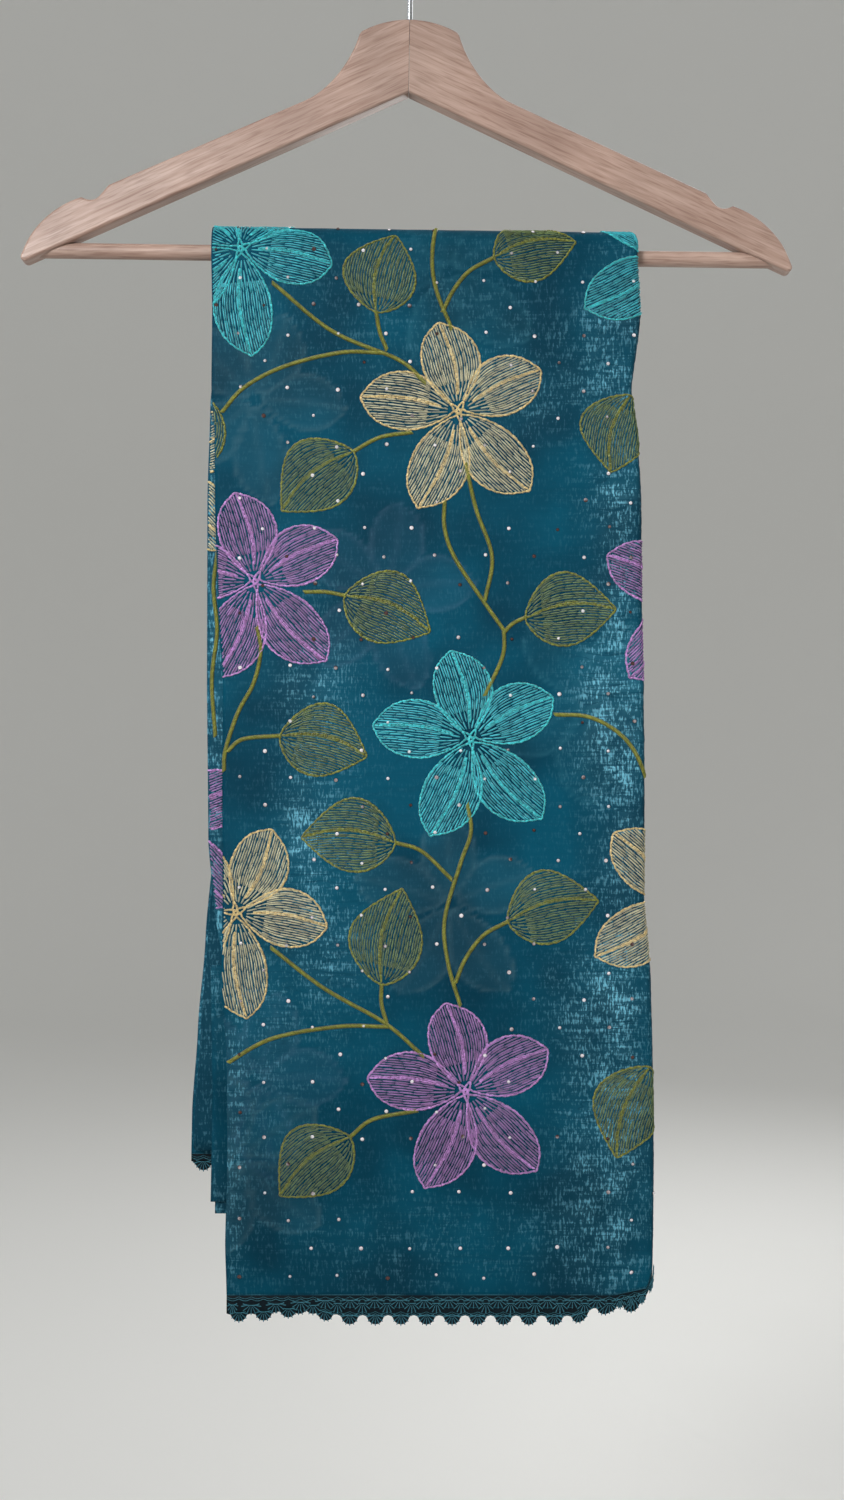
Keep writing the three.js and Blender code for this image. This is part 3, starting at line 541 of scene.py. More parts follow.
def mesh_object(name, points, *faces):
    """An object of this name from points in metres and arrays of faces with 3, 4 or more corners."""
    mesh = bpy.data.meshes.new(name)
    sizes = np.concatenate([np.full(len(f), f.shape[1]) for f in faces])
    corners = np.concatenate([f.ravel() for f in faces]).astype(np.int32)
    mesh.vertices.add(len(points))
    mesh.vertices.foreach_set("co", np.asarray(points, np.float32).ravel())
    mesh.loops.add(len(corners))
    mesh.loops.foreach_set("vertex_index", corners)
    mesh.polygons.add(len(sizes))
    mesh.polygons.foreach_set("loop_start", np.concatenate([[0], np.cumsum(sizes)[:-1]]).astype(np.int32))
    mesh.update(calc_edges=True)
    mesh.validate()
    mesh.polygons.foreach_set("use_smooth", np.ones(len(mesh.polygons), bool))
    made = bpy.data.objects.new(name, mesh)
    bpy.context.scene.collection.objects.link(made)
    return made


def finish_piece(made, material, slot, *nodes):
    """Give a piece its material and its body, and hide the solids that it stands for."""
    made.data.materials.append(material)
    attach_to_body(made, BODY)
    if nodes:
        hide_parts(*nodes)
    return made


def attach(made, name, values):
    """Keep one number for each vertex, for the material to read."""
    layer = made.data.attributes.new(name, "FLOAT", "POINT")
    layer.data.foreach_set("value", np.asarray(values, np.float32).ravel())


def grid_faces(rows, columns, first=0, flip=False):
    at = first + np.arange(rows * columns).reshape(rows, columns)
    quads = np.stack([at[:-1, :-1], at[:-1, 1:], at[1:, 1:], at[1:, :-1]], -1).reshape(-1, 4)
    return quads[:, ::-1] if flip else quads


def wall_faces(rows, columns, flip=False):
    """Faces of a closed thin wall between two grids, the outer one first."""
    count = rows * columns
    at = np.arange(count).reshape(rows, columns)
    rim = np.concatenate([at[0, :-1], at[:-1, -1], at[-1, :0:-1], at[:0:-1, 0]])
    after = np.roll(rim, -1)
    sides = np.stack([after, rim, rim + count, after + count], -1)
    if flip:
        sides = sides[:, ::-1]
    return np.concatenate([
        grid_faces(rows, columns, 0, flip), grid_faces(rows, columns, count, not flip), sides])


def ring_faces(rings, sides, first=0, flip=False):
    """Side faces and end faces of a body swept through rings of points."""
    at = first + np.arange(rings * sides).reshape(rings, sides)
    after = np.roll(at, -1, axis=1)
    quads = np.stack([at[:-1], after[:-1], after[1:], at[1:]], -1).reshape(-1, 4)
    ends = np.stack([at[0][::-1], at[-1]])
    return (quads[:, ::-1], ends[:, ::-1]) if flip else (quads, ends)


def directions(path, axis=0):
    """Unit steps along a path on the flat, and to its side."""
    ahead = np.gradient(path, axis=axis)
    ahead /= np.maximum(np.linalg.norm(ahead, axis=-1), 1e-9)[..., None]
    return ahead, np.stack([-ahead[..., 1], ahead[..., 0]], -1)


def full_turn(sides):
    """Angles of a ring's corners."""
    return np.linspace(0, 2 * math.pi, sides, endpoint=False)


def rows_down(start, stop, step):
    """Even places from start to stop, about a step apart."""
    return np.linspace(start, stop, max(2, int(round((stop - start) / step))) + 1)


def cloth_wall(name, cloth, downs, columns, wall, node, material, slot):
    """A thin wall of cloth, with its crushing kept for the material, which paints sheen and shade from it."""
    across = cloth.left(downs)[:, None] + columns[None, :] * (cloth.end(downs) - cloth.left(downs))[:, None]
    down = np.broadcast_to(downs[:, None], across.shape)
    points = np.concatenate([cloth.place(across, down, lift).reshape(-1, 3) for lift in (0.0, -wall)])
    made = mesh_object(name, points, wall_faces(len(downs), len(columns), flip=cloth.side < 0))
    attach(made, "crush_and_sheen", np.tile(patches(cloth.crush_and_sheen, across, down).ravel(), 2))
    return finish_piece(made, material, slot, node), across, down


# ------------------------------------------------------------------ materials

def add(tree, kind, inputs=(), out=0, **settings):
    """Add one node with its settings, give its sockets numbers or links, and return one of its outputs."""
    made = tree.nodes.new("ShaderNode" + kind)
    for name, value in settings.items():
        setattr(made, name, value)
    for socket, value in dict(inputs).items():
        if isinstance(value, bpy.types.NodeSocket):
            tree.links.new(value, made.inputs[socket])
        else:
            made.inputs[socket].default_value = value
    return made.outputs[out] if len(made.outputs) else made


# Settings of a node that mixes two colours, and of one that reads a number kept for each vertex.
COLOURS = {"data_type": "RGBA", "out": 2}
KEPT = {"attribute_type": "GEOMETRY", "out": "Fac"}


def blank(name):
    """A new material with an empty node tree."""
    material = bpy.data.materials.new(name)
    material.use_nodes = True
    material.node_tree.nodes.clear()
    return material, material.node_tree


def crushed_tissue(name, sizes, plain="teal", ghosts=False):
    """Crushed tissue, a sheer silk and metal cloth woven flat and then crushed by hand.

    The dye drifts between teal and deep teal. Where the cloth is crushed, a painted sheen of pale
    upright flecks and a painted glint lighten it, and painted shade darkens thin lines along its creases.
    """
    plain, deep, painted_sheen = (getattr(sizes, hue) for hue in (plain, "deep", "painted_sheen"))
    material, tree = blank(name)
    place = add(tree, "TexCoord", out="Object")
    # Waves of each pattern in a metre across, through and down the cloth, and how it breaks up.
    flecks, lines, creases, clumps = (
        add(tree, "TexNoise", {
            "Vector": add(tree, "Mapping", {"Vector": place, "Scale": waves}), "Scale": 1.0, "Detail": detail,
            "Roughness": roughness, "Distortion": distortion})
        for waves, detail, roughness, distortion in (
            # Raised threads are 0.3 mm wide and 4 mm high; drawn 1.1 mm wide, so that they show.
            ((900, 300, 250), 2.0, 0.6, 0.3),
            # Fine wrinkles lie across the cloth, 1.7 mm apart and 20 mm long.
            ((52, 200, 590), 2.0, 0.5, 0.5),
            # Sharp creases are 5 mm apart and 40 mm long.
            ((25, 120, 200), 1.0, 0.5, 0.4),
            # Patches in which the flecks gather are about 12 mm across.
            ((80, 60, 90), 3.0, 0.5, 0.0)))
    # Slow drift of the dye, about 60 mm.
    drift = add(tree, "TexNoise", {"Vector": place, "Scale": 17.0, "Detail": 2.0})
    # The crushing kept for each vertex sets where the sheen and the crease shade are painted.
    crush_and_sheen = add(tree, "Attribute", attribute_name="crush_and_sheen", **KEPT)
    # Painted sheen: crushed patches, and the flecks and wrinkles in them, lightened with a painted glint.
    gathered = add(tree, "MapRange", {0: clumps, 1: 0.32, 2: 0.64, 3: 0.42, 4: 1.3})
    zone = add(tree, "Math", {0: crush_and_sheen, 1: gathered}, operation="MULTIPLY", use_clamp=True)
    hatch = add(tree, "Mix", {0: 0.32, 2: flecks, 3: lines})
    raised = add(tree, "Math", {0: zone, 1: 0.06, 2: hatch}, operation="MULTIPLY_ADD")
    light = add(tree, "MapRange", {0: raised, 1: 0.53, 2: 0.64})
    share = add(tree, "Math", {0: zone, 1: 1.15, 2: 0.045}, operation="MULTIPLY_ADD")
    glint = add(tree, "Math", {0: share, 1: light}, operation="MULTIPLY", use_clamp=True)
    painted_sheen_share = add(tree, "Math", {0: zone, 1: 0.12, 2: glint}, operation="MULTIPLY_ADD", use_clamp=True)
    dye = add(tree, "MapRange", {0: drift, 1: 0.35, 2: 0.65})
    dyed = add(tree, "Mix", {0: dye, 6: deep, 7: plain}, **COLOURS)
    body = dyed
    if ghosts:
        tint = add(tree, "Attribute", attribute_name="ghost", attribute_type="GEOMETRY")
        amount = tint.node.outputs["Alpha"]
        strength = add(tree, "Math", {0: amount, 1: 0.09}, operation="MULTIPLY")
        body = add(tree, "Mix", {0: strength, 6: dyed, 7: tint}, **COLOURS)
    # The painted sheen lightens the dyed cloth toward its pale colour.
    face = add(tree, "Mix", {0: painted_sheen_share, 6: body, 7: painted_sheen}, **COLOURS)
    # Painted shade: thin lines along the creases darken toward deep teal, more where the cloth is crushed.
    fold = add(tree, "Math", {0: creases, 1: 0.5}, operation="SUBTRACT")
    beside = add(tree, "Math", {0: fold}, operation="ABSOLUTE")
    sharp = add(tree, "MapRange", {0: beside, 1: 0.0, 2: 0.028, 3: 1.0, 4: 0.0})
    strong = add(tree, "MapRange", {0: zone, 1: 0.0, 2: 0.6, 3: 0.12, 4: 0.75})
    creased = add(tree, "Math", {0: sharp, 1: strong}, operation="MULTIPLY")
    # painted shade in the creases
    worn = add(tree, "Mix", {0: creased, 6: face, 7: deep}, **COLOURS)
    grain = add(tree, "Math", {0: creased, 1: -0.5, 2: hatch}, operation="MULTIPLY_ADD")
    bump = add(tree, "Bump", {"Strength": 0.4, "Distance": 0.0006, "Height": grain})
    rough = add(tree, "MapRange", {0: painted_sheen_share, 1: 0.0, 2: 1.0, 3: 0.6, 4: 0.42})
    shader = add(tree, "BsdfPrincipled", {
        "Base Color": worn, "Roughness": rough, "IOR": 1.5, "Specular IOR Level": 0.06, "Sheen Weight": 0.01,
        "Sheen Roughness": 0.4, "Sheen Tint": (0.62, 0.85, 0.92, 1), "Normal": bump})
    add(tree, "OutputMaterial", {0: shader})
    return material


def viscose_thread(name, fill, line):
    """Viscose embroidery thread, spun and twisted in two plies.

    It shines along the stitch. The outlines are worked in a brighter shade of the same thread.
    """
    material, tree = blank(name)
    place = add(tree, "TexCoord", out="Object")
    bright = add(tree, "Attribute", attribute_name="bright", **KEPT)
    tone = add(tree, "Attribute", attribute_name="tone", **KEPT)
    # The plies are 0.25 mm wide; drawn 0.6 mm wide, so that they show.
    plies = add(tree, "TexNoise", {"Vector": place, "Scale": 1600.0, "Detail": 1.0})
    worked = add(tree, "Mix", {0: bright, 6: fill, 7: line}, **COLOURS)
    level = add(tree, "Math", {0: plies, 1: 0.5, 2: tone}, operation="MULTIPLY_ADD")
    shaded = add(tree, "Mix", {0: 1.0, 6: worked, 7: level}, blend_type="MULTIPLY", **COLOURS)
    bump = add(tree, "Bump", {"Strength": 0.4, "Distance": 0.0002, "Height": plies})
    shader = add(tree, "BsdfPrincipled", {
        "Base Color": shaded, "Roughness": 0.42, "IOR": 1.47, "Sheen Weight": 0.12, "Sheen Roughness": 0.3,
        "Normal": bump})
    add(tree, "OutputMaterial", {0: shader})
    return material


def crochet_cotton(name, gap_shade, thread):
    """Mercerised crochet cotton in fans: lighter, slightly shiny cords over a dark sheet of painted shade."""
    material, tree = blank(name)
    place = add(tree, "TexCoord", out="Object")
    bright = add(tree, "Attribute", attribute_name="bright", **KEPT)
    # Twist of the cotton, 0.8 mm.
    twist = add(tree, "TexNoise", {"Vector": place, "Scale": 1250.0, "Detail": 1.5})
    level = add(tree, "MapRange", {0: twist, 1: 0.3, 2: 0.7, 3: 0.65, 4: 1.2})
    # The dark sheet takes the painted shade colour, the cords the thread's.
    worked = add(tree, "Mix", {0: bright, 6: gap_shade, 7: thread}, **COLOURS)
    shaded = add(tree, "Mix", {0: 1.0, 6: worked, 7: level}, blend_type="MULTIPLY", **COLOURS)
    bump = add(tree, "Bump", {"Strength": 0.5, "Distance": 0.0003, "Height": twist})
    shader = add(tree, "BsdfPrincipled", {
        "Base Color": shaded, "Roughness": 0.62, "IOR": 1.5, "Specular IOR Level": 0.15, "Normal": bump})
    add(tree, "OutputMaterial", {0: shader})
    return material


def foiled_glass(name):
    """Glass stones cut in facets on a silver foil, with near-black sides: some are coloured pinkish white, a
    painted glint.
    """
    material, tree = blank(name)
    place = add(tree, "TexCoord", out="Object")
    rim = add(tree, "Attribute", attribute_name="bright", **KEPT)
    # The noise, as wide as the space between two stones, makes some stones pinkish white, a painted glint,
    # and the rest dark red-brown.
    tint = add(tree, "TexNoise", {"Vector": place, "Scale": 70.0, "Detail": 0.0})
    dark_share = add(tree, "MapRange", {0: tint, 1: 0.47, 2: 0.6})
    glass = add(tree, "Mix", {0: dark_share, 6: linear("F2EEF4"), 7: linear("4E3230")}, **COLOURS)
    stone = add(tree, "Mix", {0: rim, 6: linear("14181C"), 7: glass}, **COLOURS)
    shader = add(tree, "BsdfPrincipled", {
        "Base Color": stone, "Roughness": 0.12, "Metallic": 0.3, "IOR": 1.52, "Coat Weight": 0.6,
        "Coat Roughness": 0.04})
    add(tree, "OutputMaterial", {0: shader})
    return material


def lacquered_wood(name, pale, dark, lean, roughness):
    """Rubberwood, planed along the grain and lacquered satin.

    Long soft bands of grain follow the arm, with short darker pores between them.
    """
    material, tree = blank(name)
    place = add(tree, "TexCoord", out="Object")
    turned = add(tree, "Mapping", {"Vector": place, "Rotation": (0, lean, 0)})
    # Growth bands are 4 mm wide and about 80 mm long.
    band_place = add(tree, "Mapping", {"Vector": turned, "Scale": (12, 150, 260)})
    bands = add(tree, "TexNoise", {
        "Vector": band_place, "Scale": 1.0, "Detail": 5.0, "Roughness": 0.66, "Distortion": 0.35})
    # Pores are 0.2 mm wide; drawn 0.9 mm wide and 14 mm long, so that they show.
    pore_place = add(tree, "Mapping", {"Vector": turned, "Scale": (70, 800, 1100)})
    pores = add(tree, "TexNoise", {"Vector": pore_place, "Scale": 1.0, "Detail": 1.0})
    cloud = add(tree, "TexNoise", {"Vector": turned, "Scale": 22.0, "Detail": 2.0})
    banded = add(tree, "MapRange", {0: bands, 1: 0.36, 2: 0.68, 3: 0.0, 4: 0.6})
    pored = add(tree, "MapRange", {0: pores, 1: 0.5, 2: 0.7, 3: 0.0, 4: 0.42})
    figured = add(tree, "Mix", {0: banded, 6: pale, 7: dark}, **COLOURS)
    speckled = add(tree, "Mix", {0: pored, 6: figured, 7: [c * 0.8 for c in dark[:3]] + [1]}, **COLOURS)
    level = add(tree, "MapRange", {0: cloud, 1: 0.3, 2: 0.7, 3: 0.9, 4: 1.08})
    face = add(tree, "Mix", {0: 1.0, 6: speckled, 7: level}, blend_type="MULTIPLY", **COLOURS)
    rough = add(tree, "MapRange", {0: bands, 1: 0.3, 2: 0.7, 3: roughness - 0.05, 4: roughness + 0.08})
    bump = add(tree, "Bump", {"Strength": 0.18, "Distance": 0.0003, "Height": pores})
    shader = add(tree, "BsdfPrincipled", {
        "Base Color": face, "Roughness": rough, "IOR": 1.5, "Coat Weight": 0.18, "Coat Roughness": 0.25,
        "Normal": bump})
    add(tree, "OutputMaterial", {0: shader})
    return material


def drawn_wire(name):
    """Steel wire, drawn bright and nickel plated: a cool mirror with faint lines along the wire."""
    material, tree = blank(name)
    place = add(tree, "TexCoord", out="Object")
    # Drawing lines are 0.05 mm apart; drawn 0.5 mm apart, so that they show.
    lines = add(tree, "TexNoise", {"Vector": place, "Scale": 2000.0, "Detail": 1.0})
    tarnish = add(tree, "TexNoise", {"Vector": place, "Scale": 130.0, "Detail": 3.0})
    face = add(tree, "Mix", {0: tarnish, 6: linear("D5D8DB"), 7: linear("A9ADB2")}, **COLOURS)
    rough = add(tree, "MapRange", {0: lines, 1: 0.3, 2: 0.7, 3: 0.14, 4: 0.3})
    bump = add(tree, "Bump", {"Strength": 0.1, "Distance": 0.0001, "Height": lines})
    shader = add(tree, "BsdfPrincipled", {
        "Base Color": face, "Roughness": rough, "Metallic": 1.0, "Normal": bump})
    add(tree, "OutputMaterial", {0: shader})
    return material


def painted_floor(name, pale):
    """Matt studio paint, rolled on: even, with a trace of mottling."""
    material, tree = blank(name)
    place = add(tree, "TexCoord", out="Object")
    mottle = add(tree, "TexNoise", {"Vector": place, "Scale": 2.0, "Detail": 2.0})
    face = add(tree, "Mix", {0: mottle, 6: pale, 7: [c * 0.985 for c in pale[:3]] + [1]}, **COLOURS)
    shader = add(tree, "BsdfPrincipled", {"Base Color": face, "Roughness": 0.9, "Specular IOR Level": 0.1})
    add(tree, "OutputMaterial", {0: shader})
    return material


# ------------------------------------------------------------------ stitches

STITCH_TIPS = 0.2  # share of a stitch that dives into the cloth at each end
# tip, left, top, right, left, top, right, tip
STITCH_ALONG = np.array([0] + [STITCH_TIPS] * 3 + [1 - STITCH_TIPS] * 3 + [1])
STITCH_SIDE = np.array([0, -1, 0, 1, -1, 0, 1, 0])
STITCH_TOP = np.array([0, 0, 1, 0, 0, 1, 0, 0])
STITCH_FACES = np.array([
    (0, 2, 1), (0, 3, 2), (0, 1, 3), (1, 2, 5), (1, 5, 4), (2, 3, 6), (2, 6, 5), (3, 1, 4), (3, 4, 6),
    (7, 4, 5), (7, 5, 6), (7, 6, 4)])
STITCH_BASE = 0.06  # lift of a stitch's underside over the cloth
CHAIN_LEAN, CHAIN_OVERLAP = 0.1, 0.12  # shares of a link
CHAIN_WIDTH, CHAIN_LIFT = 1.3, 1.5  # against a laid thread
ROPE_STEP, ROPE_LIFT = 0.85, 1.9  # between the stitches of a stem in mm, and against a laid thread
LEAST_ROWS = (0.25, 0.74, 0.48, 0.74)  # where rows crowd together, every second and fourth thread ends first
SHORTEST_CUT = 0.15  # share of a thread that is worth keeping at the cloth's edge
UNEVEN_WIDTH, UNEVEN_HEIGHT = (0.85, 1.15), (0.8, 1.15)  # least and greatest share of a thread's size
THREAD_PLACES = 5
THREAD_RINGS, THREAD_ENDS = ring_faces(THREAD_PLACES, 3)
THREAD_FACES = np.concatenate([THREAD_RINGS[:, (0, 1, 2)], THREAD_RINGS[:, (0, 2, 3)], THREAD_ENDS])
THREAD_TAPER = np.array([0.6, 1, 1, 1, 0.6])  # a laid thread thins where it dives into the cloth


def cut_to(cloth, paths):
    """Cut threads where the cloth ends, and space their places evenly again."""
    count = paths.shape[1]

    def at(share):
        spot = share * (count - 1)
        low = np.minimum(spot.astype(int), count - 2)
        rows = np.arange(len(paths))[:, None]
        return paths[rows, low] + (paths[rows, low + 1] - paths[rows, low]) * (spot - low)[..., None]

    fine = np.linspace(0, 1, 21)
    points = at(np.broadcast_to(fine, (len(paths), len(fine))))
    inside = cloth.shown(points[..., 0], points[..., 1])
    first = fine[inside.argmax(1)]
    last = fine[::-1][inside[:, ::-1].argmax(1)]
    even = at(first[:, None] + (last - first)[:, None] * np.linspace(0, 1, count))
    return even[inside.any(1) & (last - first > SHORTEST_CUT)]


class Stitching:
    """Stitches of one thread colour, gathered into one mesh."""

    def __init__(self):
        self.points = []
        self.faces = []
        self.bright = []
        self.tone = []
        self.count = 0

    def keep(self, cloth, points, faces, bright, draw):
        """Add stitches: points of each, and the faces of one."""
        stitches, corners = points.shape[:2]
        faces = ((np.arange(stitches) * corners)[:, None, None] + faces[None] + self.count).reshape(-1, 3)
        self.faces.append(faces if cloth.side < 0 else faces[:, ::-1])
        self.points.append(points.reshape(-1, 3))
        self.bright.append(np.full(stitches * corners, bright))
        self.tone.append(np.repeat(draw.uniform(0.5, 1.0, stitches), corners))
        self.count += stitches * corners

    def sew(self, cloth, start, end, width, height, bright, draw):
        """Sew short stitches from start to end, both arrays of places on the cloth."""
        start, end = np.asarray(start, float), np.asarray(end, float)
        middle = (start + end) / 2
        shown = cloth.shown(middle[:, 0], middle[:, 1])
        start, end = start[shown], end[shown]
        if not len(start):
            return
        ahead = end - start
        long = np.maximum(np.linalg.norm(ahead, axis=1), 1e-6)
        side = np.stack([-ahead[:, 1], ahead[:, 0]], 1) / long[:, None]
        wide = width / 2 * draw.uniform(*UNEVEN_WIDTH, len(start))
        high = height * draw.uniform(*UNEVEN_HEIGHT, len(start))
        flat = (start[:, None] + ahead[:, None] * STITCH_ALONG[None, :, None]
                + side[:, None] * (STITCH_SIDE[None, :] * wide[:, None])[:, :, None])
        lift = STITCH_BASE + STITCH_TOP[None, :] * high[:, None]
        self.keep(cloth, cloth.place(flat[..., 0], flat[..., 1], lift), STITCH_FACES, bright, draw)

    def lay(self, cloth, paths, width, height, draw):
        """Lay long threads along paths of THREAD_PLACES places each."""
        paths = cut_to(cloth, np.asarray(paths, float))
        if not len(paths):
            return
        side = directions(paths, axis=1)[1]
        wide = width / 2 * draw.uniform(*UNEVEN_WIDTH, len(paths))[:, None] * THREAD_TAPER
        high = height * draw.uniform(*UNEVEN_HEIGHT, len(paths))[:, None] * THREAD_TAPER
        flat = np.stack([paths - side * wide[..., None], paths, paths + side * wide[..., None]], 2)
        lift = STITCH_BASE + np.stack([0 * high, high, 0 * high], 2)
        points = cloth.place(flat[..., 0], flat[..., 1], lift).reshape(len(paths), -1, 3)
        self.keep(cloth, points, THREAD_FACES, 0.0, draw)

    def object(self, name, material):
        made = mesh_object(name, np.concatenate(self.points), np.concatenate(self.faces))
        attach(made, "bright", np.concatenate(self.bright))
        attach(made, "tone", np.concatenate(self.tone))
        return finish_piece(made, material, "saree_cloth")


class Blade:
    """Outline of a petal or a leaf: along it from base to tip, and across it from edge to edge."""

    def __init__(self, base, tip, width, fullness, base_power, tip_power, bend):
        self.base = np.array(base, float)
        ahead = np.array(tip, float) - self.base
        self.long = np.hypot(*ahead)
        self.ahead = ahead / self.long
        self.side = np.array([-self.ahead[1], self.ahead[0]])
        self.half = width / 2
        self.fullness = fullness  # over 1 the blade is widest nearer its tip, under 1 nearer its base
        self.base_power = base_power  # under 1 the blade bulges at its base, over 1 it narrows there
        self.tip_power = tip_power
        self.bend = bend

    def half_width(self, t):
        t = np.clip(t, 0, 1)
        swell = np.sin(math.pi * t ** self.fullness).clip(1e-9)
        power = self.base_power + (self.tip_power - self.base_power) * smooth(t, 0.3, 0.7)
        return self.half * swell ** (power + (1 - self.tip_power) * t ** 12)

    def line(self, t, out):
        """Places at a distance out from the blade's curved middle."""
        away = out + self.bend * np.sin(math.pi * t)
        return self.base + self.ahead * (t * self.long)[..., None] + self.side * away[..., None]

    def at(self, t, s):
        return self.line(t, s * self.half_width(t))

    def shade(self, across, down):
        """Share of tint at a place: weak inside, with a stronger line at the edge."""
        offset = np.stack([across, down], -1) - self.base
        t = offset @ self.ahead / self.long
        out = np.abs(offset @ self.side - self.bend * np.sin(math.pi * np.clip(t, 0, 1)))
        half = self.half_width(t)
        inside = smooth(half - out, -0.8, 1.2) * (t > 0) * (t < 1)
        return inside * (0.2 + 0.8 * np.exp(-((out - half) / 2.2) ** 2) + 0.3 * np.exp(-(out / 1.6) ** 2))

    def fill(self, sewing, cloth, thread, dash, draw):
        """Long threads side by side, which spread out from the base and run on to the edge."""
        row = thread.row / MM
        gap = thread.gap / MM / self.long
        step = dash / self.long
        count = int(self.half // row)
        t = np.linspace(0.02, 0.985, 160)
        half = self.half_width(t)
        widest = t[half.argmax()]
        spread = self.half_width(np.minimum(t, widest))
        paths = []
        for i in range(-count, count + 1):
            s = (i + draw.uniform(-0.12, 0.12)) / (count + 0.6)
            least = row * LEAST_ROWS[i % 4]
            inside = t[(abs(s) * spread < half - 0.4) & (spread / (count + 0.6) > least)]
            if len(inside) < 8:
                continue
            at, last = inside[0] - step * draw.uniform(0, 0.7), inside[-1]
            while at < last:
                stop = at + step * draw.uniform(0.7, 1.3)
                first, end = max(at, inside[0]), min(stop - gap, last)
                at = stop
                if end - first < step * 0.2:
                    continue
                run = np.linspace(first, end, THREAD_PLACES)
                sway = np.linspace(*draw.uniform(-0.2, 0.2, 2), THREAD_PLACES)
                paths.append(self.line(run, s * self.half_width(np.minimum(run, widest)) + sway))
        sewing.lay(cloth, paths, thread.thickness / MM, thread.lift / MM, draw)

    def edge(self, sewing, cloth, thread, draw, rib_start, rib_shift):
        """Chain stitch round the blade, and in a double line along its rib."""
        around = (1 - np.cos(math.pi * np.linspace(0, 1, 90))) / 2
        both = [self.at(around, np.full(90, -1.0)), self.at(around[::-1], np.full(90, 1.0))]
        chain(sewing, cloth, np.concatenate(both), thread, draw)
        rib = np.linspace(rib_start, 0.97, 40)
        swell = np.sin(math.pi * rib)
        for half_rib in (-0.48, 0.48):
            out = math.copysign(rib_shift, self.bend) * swell + half_rib * swell ** 0.4
            chain(sewing, cloth, self.line(rib, out), thread, draw, 0.72)


def spaced(path, step):
    """Points at an even distance along a path."""
    path = np.asarray(path, float)
    far = np.concatenate([[0], np.cumsum(np.linalg.norm(np.diff(path, axis=0), axis=1))])
    count = max(2, int(round(far[-1] / step)) + 1)
    at = np.linspace(0, far[-1], count)
    return np.stack([np.interp(at, far, path[:, 0]), np.interp(at, far, path[:, 1])], 1)


def chain(sewing, cloth, path, thread, draw, size=1.0):
    """A chain-stitched line: short fat links that overlap, leaning to one side and the other."""
    link = thread.chain / MM
    points = spaced(path, link)
    ahead = np.diff(points, axis=0)
    side = np.stack([-ahead[:, 1], ahead[:, 0]], 1)
    shift = ahead * CHAIN_OVERLAP + side * np.resize([CHAIN_LEAN, -CHAIN_LEAN], len(ahead))[:, None]
    sewing.sew(cloth, points[:-1] - shift, points[1:] + shift, thread.thickness / MM * CHAIN_WIDTH * size,
               thread.lift / MM * CHAIN_LIFT, 1.0, draw)


def curve_through(points, step=1.0):
    """A smooth path through a few points."""
    points = np.array(points, float)
    ends = np.concatenate([[2 * points[0] - points[1]], points, [2 * points[-1] - points[-2]]])
    t = np.linspace(0, 1, 12, endpoint=False)[:, None]
    path = []
    for a, b, c, d in zip(ends, ends[1:], ends[2:], ends[3:]):
        square, cube = 2 * a - 5 * b + 4 * c - d, 3 * b - a - 3 * c + d
        path.append(0.5 * (2 * b + (c - a) * t + square * t ** 2 + cube * t ** 3))
    return spaced(np.concatenate(path + [points[-1:]]), step)


def satin(sewing, cloth, points, thread, draw):
    """A rope of slanted satin stitches."""
    path = curve_through(points, ROPE_STEP)
    ahead, side = directions(path)
    slant = (side * 0.5 + ahead * 0.42) * thread.rope / MM
    sewing.sew(cloth, path - slant, path + slant, 1.0, thread.lift / MM * ROPE_LIFT, 1.0, draw)


def petals_of(flower, width):
    """The five petals of a flower, as blades."""
    across, down, turn, _, *mirrored = flower
    way = -1 if mirrored else 1
    made = []
    for step, long, bend in zip(PETAL_TURNS, PETAL_LENGTHS, PETAL_BENDS):
        angle = math.radians(turn + step) * way
        ahead = np.array([math.cos(angle), -math.sin(angle)])
        centre = np.array([across, down], float)
        made.append(Blade(
            centre + ahead * PETAL_BASE, centre + ahead * long, width, bend=bend * way, **PETAL_SHAPE))
    return made


def leaf_of(leaf, width):
    """A leaf as a blade: broad at its base, pointed at its tip, and arched towards the bar in front."""
    base, tip = leaf[:2], leaf[2:4]
    way = 1 if len(leaf) > 4 else -1
    arch = LEAF_ARCH * way * (1 if leaf[0] < leaf[2] else -1)
    return Blade(base, tip, width, bend=arch, **LEAF_SHAPE)


def sew_flower(sewings, cloth, flower, thread, draw):
    sewing = sewings[HUES[flower[3]]]
    centre = np.array(flower[:2], float)
    blades = petals_of(flower, thread.petal_width / MM)
    for blade in blades:
        blade.fill(sewing, cloth, thread, thread.dash / MM, draw)
        blade.edge(sewing, cloth, thread, draw, rib_start=0.14, rib_shift=1.6)
    points = np.array([centre + blade.ahead * 3.0 for blade in blades])
    sewing.sew(cloth, points, np.roll(points, -2, axis=0), thread.thickness / MM * 1.2,
               thread.lift / MM * 1.5, 1.0, draw)


def sew_leaf(sewings, cloth, leaf, thread, draw):
    blade = leaf_of(leaf, thread.leaf_width / MM)
    blade.fill(sewings["leaf"], cloth, thread, thread.leaf_dash / MM, draw)
    blade.edge(sewings["leaf"], cloth, thread, draw, rib_start=0.02, rib_shift=2.8)


def behind_flower(flower, steps):
    """A flower a few repeats up the cloth, mirrored as it is seen down the back."""
    across, down, turn, hue = flower
    return across, steps * REPEAT_DOWN - down, turn, (hue - steps) % len(HUES), True


def behind_leaf(leaf, steps):
    up = steps * REPEAT_DOWN
    return leaf[0], up - leaf[1], leaf[2], up - leaf[3], True


def behind_stem(stem, steps):
    return [(x, steps * REPEAT_DOWN - y) for x, y in stem]


# ------------------------------------------------------------------ operators

